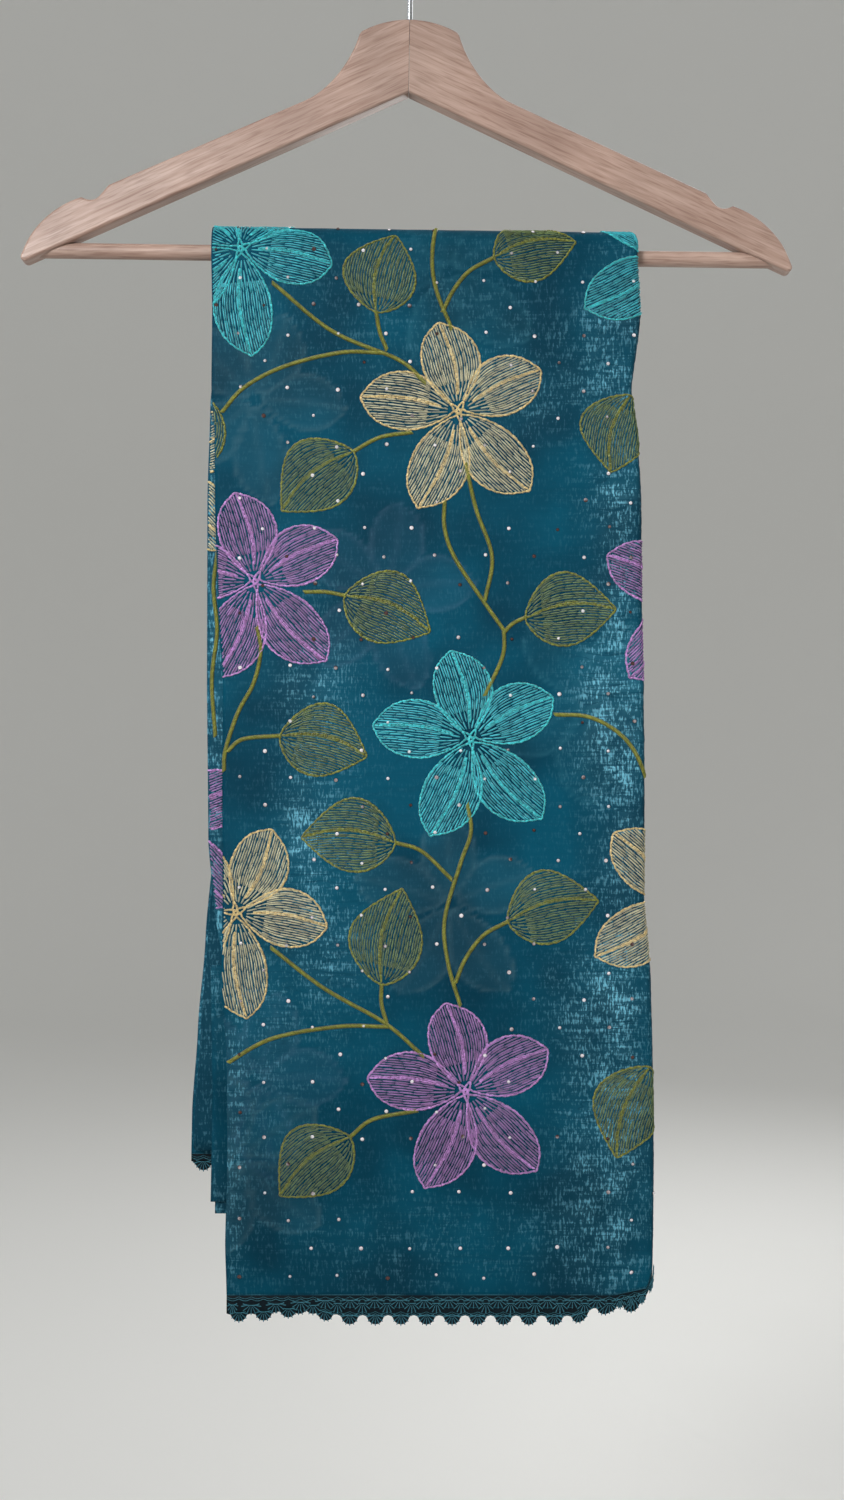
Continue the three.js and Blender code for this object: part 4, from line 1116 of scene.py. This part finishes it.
class SAREE_OT_stage(bpy.types.Operator):
    """Set up the camera, the soft studio lights and the pale floor"""

    bl_idname = "saree.stage"
    bl_label = "Stage"

    def execute(self, context):
        stage = context.scene.saree_stage
        camera = bpy.data.cameras.new("camera")
        camera.lens = stage.lens
        camera.sensor_width = 36.0
        camera.clip_end = 60.0
        stand = bpy.data.objects.new("camera", camera)
        stand.location = CAMERA_PLACE
        stand.rotation_euler = (math.pi / 2, 0, 0)
        context.scene.collection.objects.link(stand)
        context.scene.camera = stand
        for name, place, size, power, spread in LAMPS:
            lamp = bpy.data.lights.new(name, "AREA")
            lamp.shape = "DISK"
            lamp.size = size
            lamp.energy = power
            lamp.spread = math.radians(spread)
            holder = bpy.data.objects.new(name, lamp)
            holder.location = place
            holder.rotation_euler = (Vector(LIGHT_AIM) - Vector(place)).to_track_quat("-Z", "Y").to_euler()
            context.scene.collection.objects.link(holder)
        world = bpy.data.worlds.new("studio")
        world.use_nodes = True
        sky = world.node_tree.nodes["Background"]
        sky.inputs["Color"].default_value = stage.pale
        sky.inputs["Strength"].default_value = stage.world
        context.scene.world = world
        self.floor(stage)
        context.scene.view_settings.view_transform = "Standard"
        return {"FINISHED"}

    def floor(self, stage):
        """A round floor that sweeps up into a plain wall on every side."""
        bend = np.linspace(0, math.pi / 2, 13)[1:]
        level = np.concatenate([[0.02], np.linspace(0.6, FLOOR_REACH, 7)])
        out = np.concatenate([level, FLOOR_REACH + FLOOR_SWEEP * np.sin(bend), [FLOOR_REACH + FLOOR_SWEEP]])
        up = np.concatenate([np.zeros(len(level)), FLOOR_SWEEP * (1 - np.cos(bend)), [WALL_HEIGHT]])
        up = np.broadcast_to((up - stage.floor_drop)[:, None], (len(out), FLOOR_SIDES))
        turn = full_turn(FLOOR_SIDES)
        points = np.stack([out[:, None] * np.cos(turn), out[:, None] * np.sin(turn), up], -1)
        quads, ends = ring_faces(len(out), FLOOR_SIDES)
        floor = mesh_object("floor", points.reshape(-1, 3), quads, ends[:1])
        floor.data.materials.append(painted_floor("studio_paint", stage.pale))


def board_outline():
    """Points round the right half of the board, in mm."""
    def bezier(a, b, c, d, count):
        t = np.linspace(0, 1, count + 1)[1:, None]
        a, b, c, d = (np.array(p, float) for p in (a, b, c, d))
        return (1 - t) ** 3 * a + 3 * (1 - t) ** 2 * t * b + 3 * (1 - t) * t ** 2 * c + t ** 3 * d

    angle = np.linspace(math.pi / 2, math.pi / 2 - CROWN_HALF_ANGLE, 15)
    crown = np.stack([CROWN_RADIUS * np.cos(angle), CROWN_RADIUS * np.sin(angle) - CROWN_RADIUS], 1)
    start, bottom, end = (np.array(p) for p in (NOTCH_START, NOTCH_BOTTOM, NOTCH_END))
    notch = bezier(start, start + (bottom - start) * 2 / 3, end + (bottom - end) * 2 / 3, end, 8)
    return np.concatenate([
        crown, BOARD_NECK[:1], bezier(*BOARD_NECK, 14), [NOTCH_RIM, NOTCH_START], notch,
        bezier(*BOARD_SHOULDER, 12), BOARD_TIP, [(0, -WOOD_APEX_DROP)]])


def hanging(points):
    """Points of the level hanger, in mm, tilted about the rail and brought to metres."""
    points = np.asarray(points, float)
    cos, sin = math.cos(HANGER_TILT), math.sin(HANGER_TILT)
    x, y, z = points[..., 0], points[..., 1], points[..., 2]
    return np.stack([x * cos + z * sin, y, z * cos - x * sin], -1) * MM


class SAREE_OT_hanger(bpy.types.Operator):
    """Build the two wooden arms, the trouser bar and the hook"""

    bl_idname = "saree.hanger"
    bl_label = "Hanger"

    def execute(self, context):
        hanger = context.scene.saree_hanger
        outline = board_outline()
        for name, side in (("arm_left", -1), ("arm_right", 1)):
            half = outline.copy()
            half[:, 0] = np.maximum(half[:, 0], SEAM_GAP) * side
            if side < 0:
                half = half[::-1]
            count = len(half)
            at = np.arange(count)
            after = np.roll(at, -1)
            rim = np.stack([at, after, after + count, at + count], -1)
            front = np.stack([half[:, 0], np.full(count, -WOOD_THICKNESS / 2), half[:, 1] + WOOD_TOP], 1)
            points = hanging(np.concatenate([front, front * (1, -1, 1)]))
            made = mesh_object(name, points, at[None, ::-1], at[None] + count, rim)
            self.round_off(made, half, hanger.rounding)
            wood = lacquered_wood("rubberwood_satin_lacquer_" + name, hanger.wood, hanger.wood_dark,
                                  lean=side * -GRAIN_LEAN, roughness=0.42)
            finish_piece(made, wood, "wood", "hanger_" + name)
        self.bar(hanger)
        self.hook(hanger)
        return {"FINISHED"}

    def round_off(self, made, half, rounding):
        """Round the board's sharp edges, all but those that meet at the seam."""
        count = len(half)
        before = half - np.roll(half, 1, axis=0)
        after = np.roll(half, -1, axis=0) - half
        turn = np.arctan2(before[:, 0] * after[:, 1] - before[:, 1] * after[:, 0], (before * after).sum(1))
        corner = np.abs(turn) > SHARP_TURN
        free = np.abs(half[:, 0]) > SEAM_GAP + 0.01
        ends = np.empty(2 * len(made.data.edges), np.int32)
        made.data.edges.foreach_get("vertices", ends)
        a, b = (ends % count).reshape(-1, 2).T
        sharp = np.where(a == b, corner[a] & free[a], free[a] | free[b])
        weight = made.data.attributes.new("bevel_weight_edge", "FLOAT", "EDGE")
        weight.data.foreach_set("value", sharp.astype(np.float32))
        kept = made.data.attributes.new("sharp_edge", "BOOLEAN", "EDGE")
        kept.data.foreach_set("value", (a != b) & ~sharp)
        bevel = made.modifiers.new("rounding", "BEVEL")
        bevel.width = rounding
        bevel.segments = 4
        bevel.limit_method = "WEIGHT"
        bevel.harden_normals = True

    def bar(self, hanger):
        """Turned dowel with eased ends."""
        radius = hanger.bar / MM / 2
        half = hanger.bar_length / MM / 2
        sides = 40
        turn = full_turn(sides)
        stations = [(-half, BAR_END), (-half + BAR_EASE, 1.0)]
        stations += [(x, 1.0) for x in np.linspace(-half, half, 44)[1:-1]]
        stations += [(half - BAR_EASE, 1.0), (half, BAR_END)]
        rings = []
        for x, share in stations:
            worn = radius * share * (1 + 0.006 * math.sin(x / 21))
            rings.append(np.stack([np.full(sides, x), worn * np.cos(turn), BAR_Z + worn * np.sin(turn)], 1))
        made = mesh_object("trouser_bar", hanging(np.concatenate(rings)), *ring_faces(len(rings), sides))
        wood = lacquered_wood("rubberwood_turned_dowel", hanger.bar_wood, hanger.wood_dark,
                              lean=0.0, roughness=0.5)
        finish_piece(made, wood, "bar_wood", "hanger_bar")

    def hook(self, hanger):
        """Round wire bent into a hook, with a rounded free end."""
        wire = hanger.wire / MM / 2
        centre = HOOK_CENTRE + wire
        turns = [math.radians(angle) for angle in HOOK_TURNS]
        bow = [(centre * math.cos(turn), centre * math.sin(turn) - HOOK_CENTRE) for turn in turns]
        path = curve_through(HOOK_STEM + bow, 1.1)
        side = directions(path)[1]
        reach = np.linalg.norm(path - path[-1], axis=1)
        size = wire * np.sqrt(np.clip(1 - np.clip(1 - reach / wire, 0, 0.97) ** 2, 0.02, 1))
        sides = 16
        turn = full_turn(sides)
        x = path[:, :1] + side[:, :1] * size[:, None] * np.cos(turn)
        z = path[:, 1:] + side[:, 1:] * size[:, None] * np.cos(turn)
        y = size[:, None] * np.sin(turn)
        points = hanging(np.stack([x, y, z], -1).reshape(-1, 3))
        made = mesh_object("hook", points, *ring_faces(len(path), sides, flip=True))
        finish_piece(made, drawn_wire("nickel_plated_drawn_steel"), "steel", "hanger_hook")


def ghost_colours(made, ghosts, across, down, thread, painted_sheen):
    """Tint of the flowers that show faintly through the sheer cloth, kept for each vertex."""
    tint = np.zeros(across.shape + (4,))
    for ghost in ghosts:
        # Each ghost's hue is paled toward the colour of the painted sheen.
        hue = 0.35 * np.array(getattr(thread, HUES[ghost[3]])) + 0.65 * np.array(painted_sheen)
        for blade in petals_of(ghost, thread.petal_width / MM):
            share = np.clip(blade.shade(across, down), 0, 1)
            stronger = share > tint[..., 3]
            tint[stronger, :3] = hue[:3]
            tint[..., 3] = np.maximum(tint[..., 3], share)
    layer = made.data.attributes.new("ghost", "FLOAT_COLOR", "POINT")
    layer.data.foreach_set("color", np.tile(tint.reshape(-1, 4), (2, 1)).astype(np.float32).ravel())


class SAREE_OT_outer(bpy.types.Operator):
    """Build the outer stretches, in front of the bar and behind it"""

    bl_idname = "saree.outer"
    bl_label = "Outer stretches"

    def execute(self, context):
        self.stretch(context, "front", FRONT_GHOSTS)
        self.stretch(context, "back", BACK_GHOSTS)
        return {"FINISHED"}

    def stretch(self, context, side, ghosts):
        name = "saree_" + side
        cloth = outer_cloth(side)
        sizes = context.scene.saree_cloth
        flat_width = float(cloth.flat_end(np.array(300.0)) - cloth.left(np.array(300.0)))
        share = flat_width / (flat_width + FOLD_LENGTH)
        flat = np.linspace(0, share, int(flat_width / (sizes.across_step / MM)) + 1)
        fold = np.linspace(share, 1, 9)[1:]
        downs = rows_down(0.15, float(cloth.down_at(cloth.hem)), sizes.down_step / MM)
        material = crushed_tissue("crushed_tissue_" + name, sizes, ghosts=True)
        made, across, down = cloth_wall(name, cloth, downs, np.concatenate([flat, fold]), sizes.wall / MM,
                                        side + "_fall", material, "saree_cloth")
        ghost_colours(made, ghosts, across, down, context.scene.saree_thread, sizes.painted_sheen)


class SAREE_OT_second(bpy.types.Operator):
    """Build the second stretch of the front, and the two plain layers at the back"""

    bl_idname = "saree.second"
    bl_label = "Second stretch and under layers"

    def execute(self, context):
        sizes = context.scene.saree_cloth
        cloth = second_cloth()
        material = crushed_tissue("crushed_tissue_second", sizes)
        downs = rows_down(float(cloth.down_at(SECOND_TOP)), float(cloth.down_at(FRONT_HEM)), 4.0)
        cloth_wall("saree_second", cloth, downs, np.linspace(0, 1, 61), sizes.wall / MM,
                   "second_fall", material, "inner_cloth")
        for layer in UNDER_LAYERS:
            self.under(sizes, *layer)
        return {"FINISHED"}

    def under(self, sizes, name, face, left, right, hem):
        """A plain layer between the two halves of the stack, with a narrow rolled hem."""
        wall = sizes.wall / MM
        height = np.linspace(UNDER_TOP, hem, UNDER_ROWS)[:, None]
        x = np.linspace(left, right, UNDER_COLUMNS)[None, :]
        sway = 0.28 * np.sin(x / 17 + height / 37) + 0.14 * np.sin(x / 6.1 - height / 14)
        roll = 0.26 * smooth(height, hem + sizes.hem_roll / MM + 0.8, hem + sizes.hem_roll / MM - 0.8)
        edge = 0.5 * np.sin(height / 23) * np.array([1] + [0] * (UNDER_COLUMNS - 2) + [1])[None, :]
        middle = face + 0.6 + sway
        faces = [np.stack(np.broadcast_arrays(x + edge, middle + out * wall / 2 + out * roll, height), -1)
                 for out in (1, -1)]
        points = np.concatenate([side.reshape(-1, 3) for side in faces]) * MM
        made = mesh_object(name + "_cloth", points, wall_faces(UNDER_ROWS, UNDER_COLUMNS))
        attach(made, "crush_and_sheen", np.tile(np.clip(0.14 + 0.12 * np.sin(x / 9 + height / 21), 0, 1).ravel(), 2))
        finish_piece(made, crushed_tissue("crushed_tissue_" + name, sizes), "inner_cloth", name)


class SAREE_OT_inner(bpy.types.Operator):
    """Build the hidden folded layers over the bar, as flattened folds inside one another"""

    bl_idname = "saree.inner"
    bl_label = "Hidden layers"

    def execute(self, context):
        sizes = context.scene.saree_cloth
        layers = sizes.layers
        stations = self.stations()
        all_points, quads, ends = [], [], []
        first = 0
        for layer in range(layers):
            rings = [self.section(station, layer, layers) for station in self.trimmed(stations, layer)]
            sides = len(rings[0])
            sheet, caps = ring_faces(len(rings), sides, first)
            all_points += rings
            quads.append(sheet)
            ends.append(caps)
            first += len(rings) * sides
        points = np.concatenate(all_points) * MM
        made = mesh_object("saree_inner_folds", points, np.concatenate(quads), np.concatenate(ends))
        attach(made, "crush_and_sheen", np.full(first, 0.15))
        material = crushed_tissue("crushed_tissue_folds", sizes, plain="inner")
        finish_piece(made, material, "inner_cloth", "inner_folds")
        return {"FINISHED"}

    def stations(self):
        """Side, angle over the bar or None, and height, from the front hem to the back hem."""
        front = [(-1, None, z) for z in np.linspace(FRONT_HEM + 3, BAR_Z, 60)[:-1]]
        over = [(-1 if a < 0 else 1, abs(a), BAR_Z) for a in np.linspace(-math.pi / 2, math.pi / 2, 15)]
        back = [(1, None, z) for z in np.linspace(BAR_Z, BACK_HEM + 3, 54)[1:]]
        return front + over + back

    def trimmed(self, stations, layer):
        """Each layer ends at a slightly different height."""
        rise = LAYER_RISES[layer]
        side, angle, height = stations[0]
        last_side, last_angle, last_height = stations[-1]
        return [(side, angle, height + rise)] + stations[1:-1] + [(last_side, last_angle, last_height + rise)]

    def depths(self, side, angle, height):
        """How far inside the outer face the stack begins and ends."""
        if angle is not None:
            return STACK_BACK, BAR_TURN - STACK_INSIDE
        drop = BAR_Z - height
        inside = STACK_INSIDE + (HALVES_APART - STACK_INSIDE) * float(smooth(drop, 0, LEGS_MEET))
        room = float(smooth(-height, -UNDER_ROOM_TOP, -UNDER_TOP - 8))
        inside += room * (UNDER_RECESS - HALVES_APART if side > 0 else -0.6)
        return (STACK_FRONT if side < 0 else STACK_BACK), float(eased(FALL_PROFILE, drop)) - inside

    def section(self, station, layer, layers):
        side, angle, height = station
        outer, inner = self.depths(side, angle, height)
        thick = (inner - outer) / layers
        middle = outer + thick * (layer + 0.5)
        radius = thick / 2 - 0.05
        edges = FRONT_EDGES if side < 0 else BACK_EDGES
        phase = layer * 1.9
        run = height * side / 40
        left = float(eased(edges, height, 1)) + 2.3 + 0.45 * (layer % 3) + 0.45 * math.sin(run + phase)
        right = float(eased(edges, height, 2)) - 2.5 - 0.4 * ((layer + 1) % 3)
        right += 0.35 * math.sin(run * 1.3 + phase)
        turn = np.linspace(-math.pi / 2, math.pi / 2, 6)
        x = np.concatenate([right - radius + radius * np.cos(turn), left + radius - radius * np.cos(turn)])
        depth = middle + radius * np.concatenate([np.sin(turn), -np.sin(turn)])
        lean = -x * math.sin(HANGER_TILT)
        if angle is not None:
            over = BAR_TURN - depth
            return np.stack([x, side * over * math.sin(angle), BAR_Z + lean + over * math.cos(angle)], 1)
        drop = BAR_Z - height
        out = float(eased(FALL_PROFILE, drop)) - depth
        return np.stack([x, side * out, height + lean * max(0.0, 1 - drop / TILT_FADE)], 1)


class Crochet:
    """Lace worked as thin cords over a dark sheet of painted shade, on the flat and then hung from a hem."""

    def __init__(self, cloth, radius):
        self.cloth = cloth
        self.radius = radius
        self.points = []
        self.quads = []
        self.ends = []
        self.bright = []
        self.count = 0
        self.rise = 0.0

    def cord(self, path, thick=1.0, sides=5):
        """A cord along a path of places on the flat, of one thickness or one for each place."""
        path = np.asarray(path, float)
        radius = np.broadcast_to(self.radius * np.asarray(thick, float), len(path))[:, None]
        side = directions(path)[1]
        turn = full_turn(sides)
        flat = path[:, None] + side[:, None] * (radius * np.cos(turn))[..., None]
        lift = radius * np.sin(turn) - LACE_INSET + self.rise
        self.points.append(self.cloth.place(flat[..., 0], flat[..., 1], lift).reshape(-1, 3))
        quads, ends = ring_faces(len(path), sides, self.count, flip=self.cloth.side < 0)
        self.quads.append(quads)
        self.ends.append(ends)
        self.bright.append(np.ones(len(path) * sides))
        self.count += len(path) * sides

    def gap_shade(self, across, top, bottom, wall=0.16):
        """A thin dark sheet between two lines of places, painted shade in the lace's gaps."""
        rows = np.linspace(0, 1, 5)[:, None]
        down = top[None] * (1 - rows) + bottom[None] * rows
        wide = np.broadcast_to(across[None], down.shape)
        for lift in (wall / 2 - LACE_INSET, -wall / 2 - LACE_INSET):
            self.points.append(self.cloth.place(wide, down, lift + self.rise).reshape(-1, 3))
        self.quads.append(wall_faces(5, len(across), flip=self.cloth.side < 0) + self.count)
        self.bright.append(np.zeros(2 * down.size))
        self.count += 2 * down.size

    def object(self, name, material, node):
        points, quads, ends, bright = (
            np.concatenate(part) for part in (self.points, self.quads, self.ends, self.bright))
        made = mesh_object(name, points, quads, ends)
        attach(made, "bright", bright)
        return finish_piece(made, material, "lace", node)


class SAREE_OT_lace(bpy.types.Operator):
    """Work the crocheted fans along the three hems, in two rows where the cloth turns the fold"""

    bl_idname = "saree.lace"
    bl_label = "Lace"

    def execute(self, context):
        lace = context.scene.saree_lace
        cotton = crochet_cotton("mercerised_crochet_cotton", lace.gap_shade, lace.thread)
        for node, cloth, sag in (
                ("lace_front", outer_cloth("front", crushed=False), LEFT_SAG),
                ("lace_back", outer_cloth("back", crushed=False), 0.0),
                ("lace_second", second_cloth(), 0.0)):
            hem = float(cloth.down_at(cloth.hem))
            left = float(cloth.left(np.array(hem)))
            flat = float(cloth.flat_end(np.array(hem))) - left
            fans = round(flat / SCALLOP)
            pitch = flat / fans
            wide = lace.fan / MM / 2
            turned = LACE_SWEEP * EDGE_RADIUS if cloth.folded else 0.0
            work = Crochet(cloth, lace.cord / MM)
            self.heading(work, left, flat + turned, pitch, hem, 2.0 if cloth.folded else 3.4, sag)
            for i in range(fans):
                middle = left + (i + 0.5) * pitch
                self.fan(work, middle, hem + LOWER_FANS + self.hang(middle, sag), wide * 0.92,
                         LACE_PAST_HEM - LOWER_FANS)
            if turned:
                self.upper_fans(work, left, flat, turned, pitch, hem, wide, sag)
            work.object(node + "_fans", cotton, node)
        return {"FINISHED"}

    def upper_fans(self, work, left, flat, turned, pitch, hem, wide, sag):
        """A second row between the fans of the first, and narrow ones where the lace turns the fold."""
        base = hem + UPPER_FANS
        work.rise = 0.45
        for i in range(1, round(flat / pitch)):
            middle = left + i * pitch
            hung = self.hang(middle, sag)
            self.fan(work, middle, base + 0.55 * hung, wide, 5.2 + 0.15 * hung)
        hung = self.hang(left, sag)
        self.fan(work, left + wide * 0.6, base + 0.5 * hung, wide * 0.55, 5.0 + 0.15 * hung)
        work.rise = 0.8
        for middle in np.linspace(left + flat - 15, left + flat + turned - 1.6, 4):
            self.fan(work, middle, base, *TURNED_FAN)

    def hang(self, across, sag):
        """How much lower the lace hangs towards its left end."""
        return sag * (1 - smooth(across, -95, -40))

    def heading(self, work, left, long, pitch, hem, line, sag):
        """A dark sheet of painted shade under the hem, with a straight cord and two rows of small hanging
        arcs.
        """
        across = np.linspace(left, left + long, int(long / 0.9))
        arc = np.abs(np.sin((across - left) * 2 * math.pi / pitch))
        lowest = hem + 4.2 + 0.8 * arc + self.hang(across, 1.15 * sag)
        work.gap_shade(across, np.full(len(across), hem - 0.6), lowest)
        for down, thick in ((0 * arc + hem - 0.3, 0.9), (hem + line - 1.2 + 1.2 * arc, 0.5),
                            (hem + line + 1.2 * arc, 0.7)):
            work.cord(np.stack([across, down], 1), thick)

    def fan(self, work, middle, base, wide, deep):
        """A half daisy: a dark painted-shade sheet, loops that thicken towards the rim, and a bar over them.
        """
        turn = np.linspace(0.04, 0.96, 13) * math.pi
        work.gap_shade(
            middle - wide * 0.92 * np.cos(turn), np.full(len(turn), base - 0.4),
            base + np.maximum(deep * 0.86 * np.sin(turn), 0.25))
        for angle in np.linspace(0.06, 0.94, FAN_LOOPS) * math.pi:
            rim = np.array([-wide * math.cos(angle), deep * math.sin(angle)])
            along = np.array([0.25, 0.62, 0.9, 1.0])[:, None]
            work.cord(np.array([middle, base]) + rim * along, np.array([0.5, 0.8, 1.15, 0.7]))
        bar = np.linspace(-1, 1, 9)
        work.cord(np.stack([middle + bar * wide * 0.8, base - 0.3 + 0.9 * (1 - bar ** 2)], 1), 1.1)


class SAREE_OT_embroidery(bpy.types.Operator):
    """Sew the flowers, leaves and stems on both sides of the bar"""

    bl_idname = "saree.embroidery"
    bl_label = "Embroidery"

    def execute(self, context):
        thread = context.scene.saree_thread
        shades = {hue: (getattr(thread, hue), getattr(thread, hue + "_line")) for hue in (*HUES, "leaf")}
        shades["stem"] = (thread.leaf_line, thread.leaf_line)
        threads = {name: viscose_thread("viscose_thread_" + name, *pair) for name, pair in shades.items()}
        draw = np.random.default_rng(11)
        for side in OUTER:
            sewings = {name: Stitching() for name in threads}
            sew = self.sew_front if side == "front" else self.sew_back
            sew(sewings, outer_cloth(side), thread, draw)
            for name, sewing in sewings.items():
                sewing.object("embroidery_" + side + "_" + name, threads[name])
        return {"FINISHED"}

    def sew_front(self, sewings, cloth, thread, draw):
        for flower in FLOWERS + LAST_FLOWERS + EDGE_FLOWERS:
            sew_flower(sewings, cloth, flower, thread, draw)
        for leaf in LEAVES + LAST_LEAVES:
            sew_leaf(sewings, cloth, leaf, thread, draw)
        for stem in STEMS + LAST_STEMS:
            satin(sewings["stem"], cloth, stem, thread, draw)
        under = second_cloth()
        for flower in STRIP_FLOWERS:
            sew_flower(sewings, under, flower, thread, draw)
        for stem in STRIP_STEMS:
            satin(sewings["stem"], under, stem, thread, draw)

    def sew_back(self, sewings, cloth, thread, draw):
        """The front's repeat, run on over the bar and down behind it."""
        for steps in (0, 1, 2):
            for flower in FLOWERS:
                for shift in (0, REPEAT_ACROSS, -REPEAT_ACROSS):
                    across, down, *rest = behind_flower(flower, steps)
                    if (BEHIND_DOWN[0] < down < BEHIND_DOWN[1]
                            and BEHIND_ACROSS[0] < across + shift < BEHIND_ACROSS[1]):
                        sew_flower(sewings, cloth, (across + shift, down, *rest), thread, draw)
            for leaf in LEAVES:
                sew_leaf(sewings, cloth, behind_leaf(leaf, steps), thread, draw)
            for stem in STEMS:
                satin(sewings["stem"], cloth, behind_stem(stem, steps), thread, draw)


class SAREE_OT_stones(bpy.types.Operator):
    """Glue the small foiled stones on both sides, in staggered rows"""

    bl_idname = "saree.stones"
    bl_label = "Stones"

    def execute(self, context):
        radius = context.scene.saree_thread.stone / MM / 2
        glass = foiled_glass("foil_backed_cut_glass")
        draw = np.random.default_rng(5)
        for side in OUTER:
            cloth = outer_cloth(side)
            bottom = float(cloth.down_at(cloth.hem)) - STONE_HEM
            places = []
            for row in range(int(bottom // STONE_ROW) + 1):
                down = bottom - row * STONE_ROW
                first = STONE_LEFT + (STONE_PITCH / 2 if row % 2 else 0)
                places += [(first + i * STONE_PITCH, down) for i in range(STONE_COUNT)]
            places = np.array(places) + draw.normal(0, STONE_STRAY, (len(places), 2))
            across, down = places.T
            left, right, top = STONE_MARGINS
            inside = (across > cloth.left(down) + left) & (across < cloth.end(down) - right) & (down > top)
            places = places[inside & (draw.uniform(0, 1, len(places)) < STONE_SHARE)]
            self.stones(cloth, "stones_" + side, places, radius, glass, draw)
        return {"FINISHED"}

    def stones(self, cloth, name, places, radius, glass, draw):
        """Flat-backed stones: a dark girdle, a crown of facets and a small table."""
        share, lift = np.array(STONE_RINGS).T.repeat(STONE_FACETS, axis=1)
        spin = draw.uniform(0, 1, len(places))[:, None] + np.tile(full_turn(STONE_FACETS), len(STONE_RINGS))
        size = radius * draw.uniform(0.8, 1.12, len(places))[:, None]
        across = places[:, :1] + size * share * np.cos(spin)
        down = places[:, 1:] + size * share * np.sin(spin)
        points = cloth.place(across, down, np.broadcast_to(lift, across.shape)).reshape(-1, 3)
        first = (np.arange(len(places)) * len(share))[:, None, None]
        faces = [(first + part[None]).reshape(-1, part.shape[1])
                 for part in ring_faces(len(STONE_RINGS), STONE_FACETS, flip=cloth.side < 0)]
        made = mesh_object(name, points, *faces)
        made.data.polygons.foreach_set("use_smooth", np.zeros(len(made.data.polygons), bool))
        attach(made, "bright", np.tile(np.repeat([0.0, 0.0, 1.0, 1.0], STONE_FACETS), len(places)))
        finish_piece(made, glass, "saree_cloth")


class SAREE_OT_cut(bpy.types.Operator):
    """An empty step: it does nothing"""

    bl_idname = "saree.cut"
    bl_label = "Cut sizes"

    def execute(self, context):
        return {"FINISHED"}


class SAREE_PT_panel(bpy.types.Panel):
    """Lists the steps that build the saree and its hanger"""

    bl_idname = "SAREE_PT_panel"
    bl_label = "Saree"
    bl_space_type = "VIEW_3D"
    bl_region_type = "UI"
    bl_category = "Saree"

    def draw(self, context):
        for step in STEPS:
            self.layout.operator(step.bl_idname)
        for group in GROUPS:
            box = self.layout.box()
            held = getattr(context.scene, group)
            for name in held.__annotations__:
                box.prop(held, name)


STEPS = (
    SAREE_OT_stage, SAREE_OT_hanger, SAREE_OT_inner, SAREE_OT_second, SAREE_OT_outer, SAREE_OT_lace,
    SAREE_OT_embroidery, SAREE_OT_stones, SAREE_OT_cut,
)
GROUPS = {
    "saree_cloth": SareeCloth,
    "saree_thread": SareeThread,
    "saree_lace": SareeLace,
    "saree_hanger": SareeHanger,
    "saree_stage": SareeStage,
}


def register():
    for kind in (*GROUPS.values(), *STEPS, SAREE_PT_panel):
        bpy.utils.register_class(kind)
    for name, group in GROUPS.items():
        setattr(bpy.types.Scene, name, PointerProperty(type=group))


def unregister():
    for name in GROUPS:
        delattr(bpy.types.Scene, name)
    for kind in (SAREE_PT_panel, *reversed(STEPS), *reversed(tuple(GROUPS.values()))):
        bpy.utils.unregister_class(kind)


def main():
    register()
    for step in STEPS:
        area, name = step.bl_idname.split(".")
        getattr(getattr(bpy.ops, area), name)()


if __name__ == "__main__":
    main()
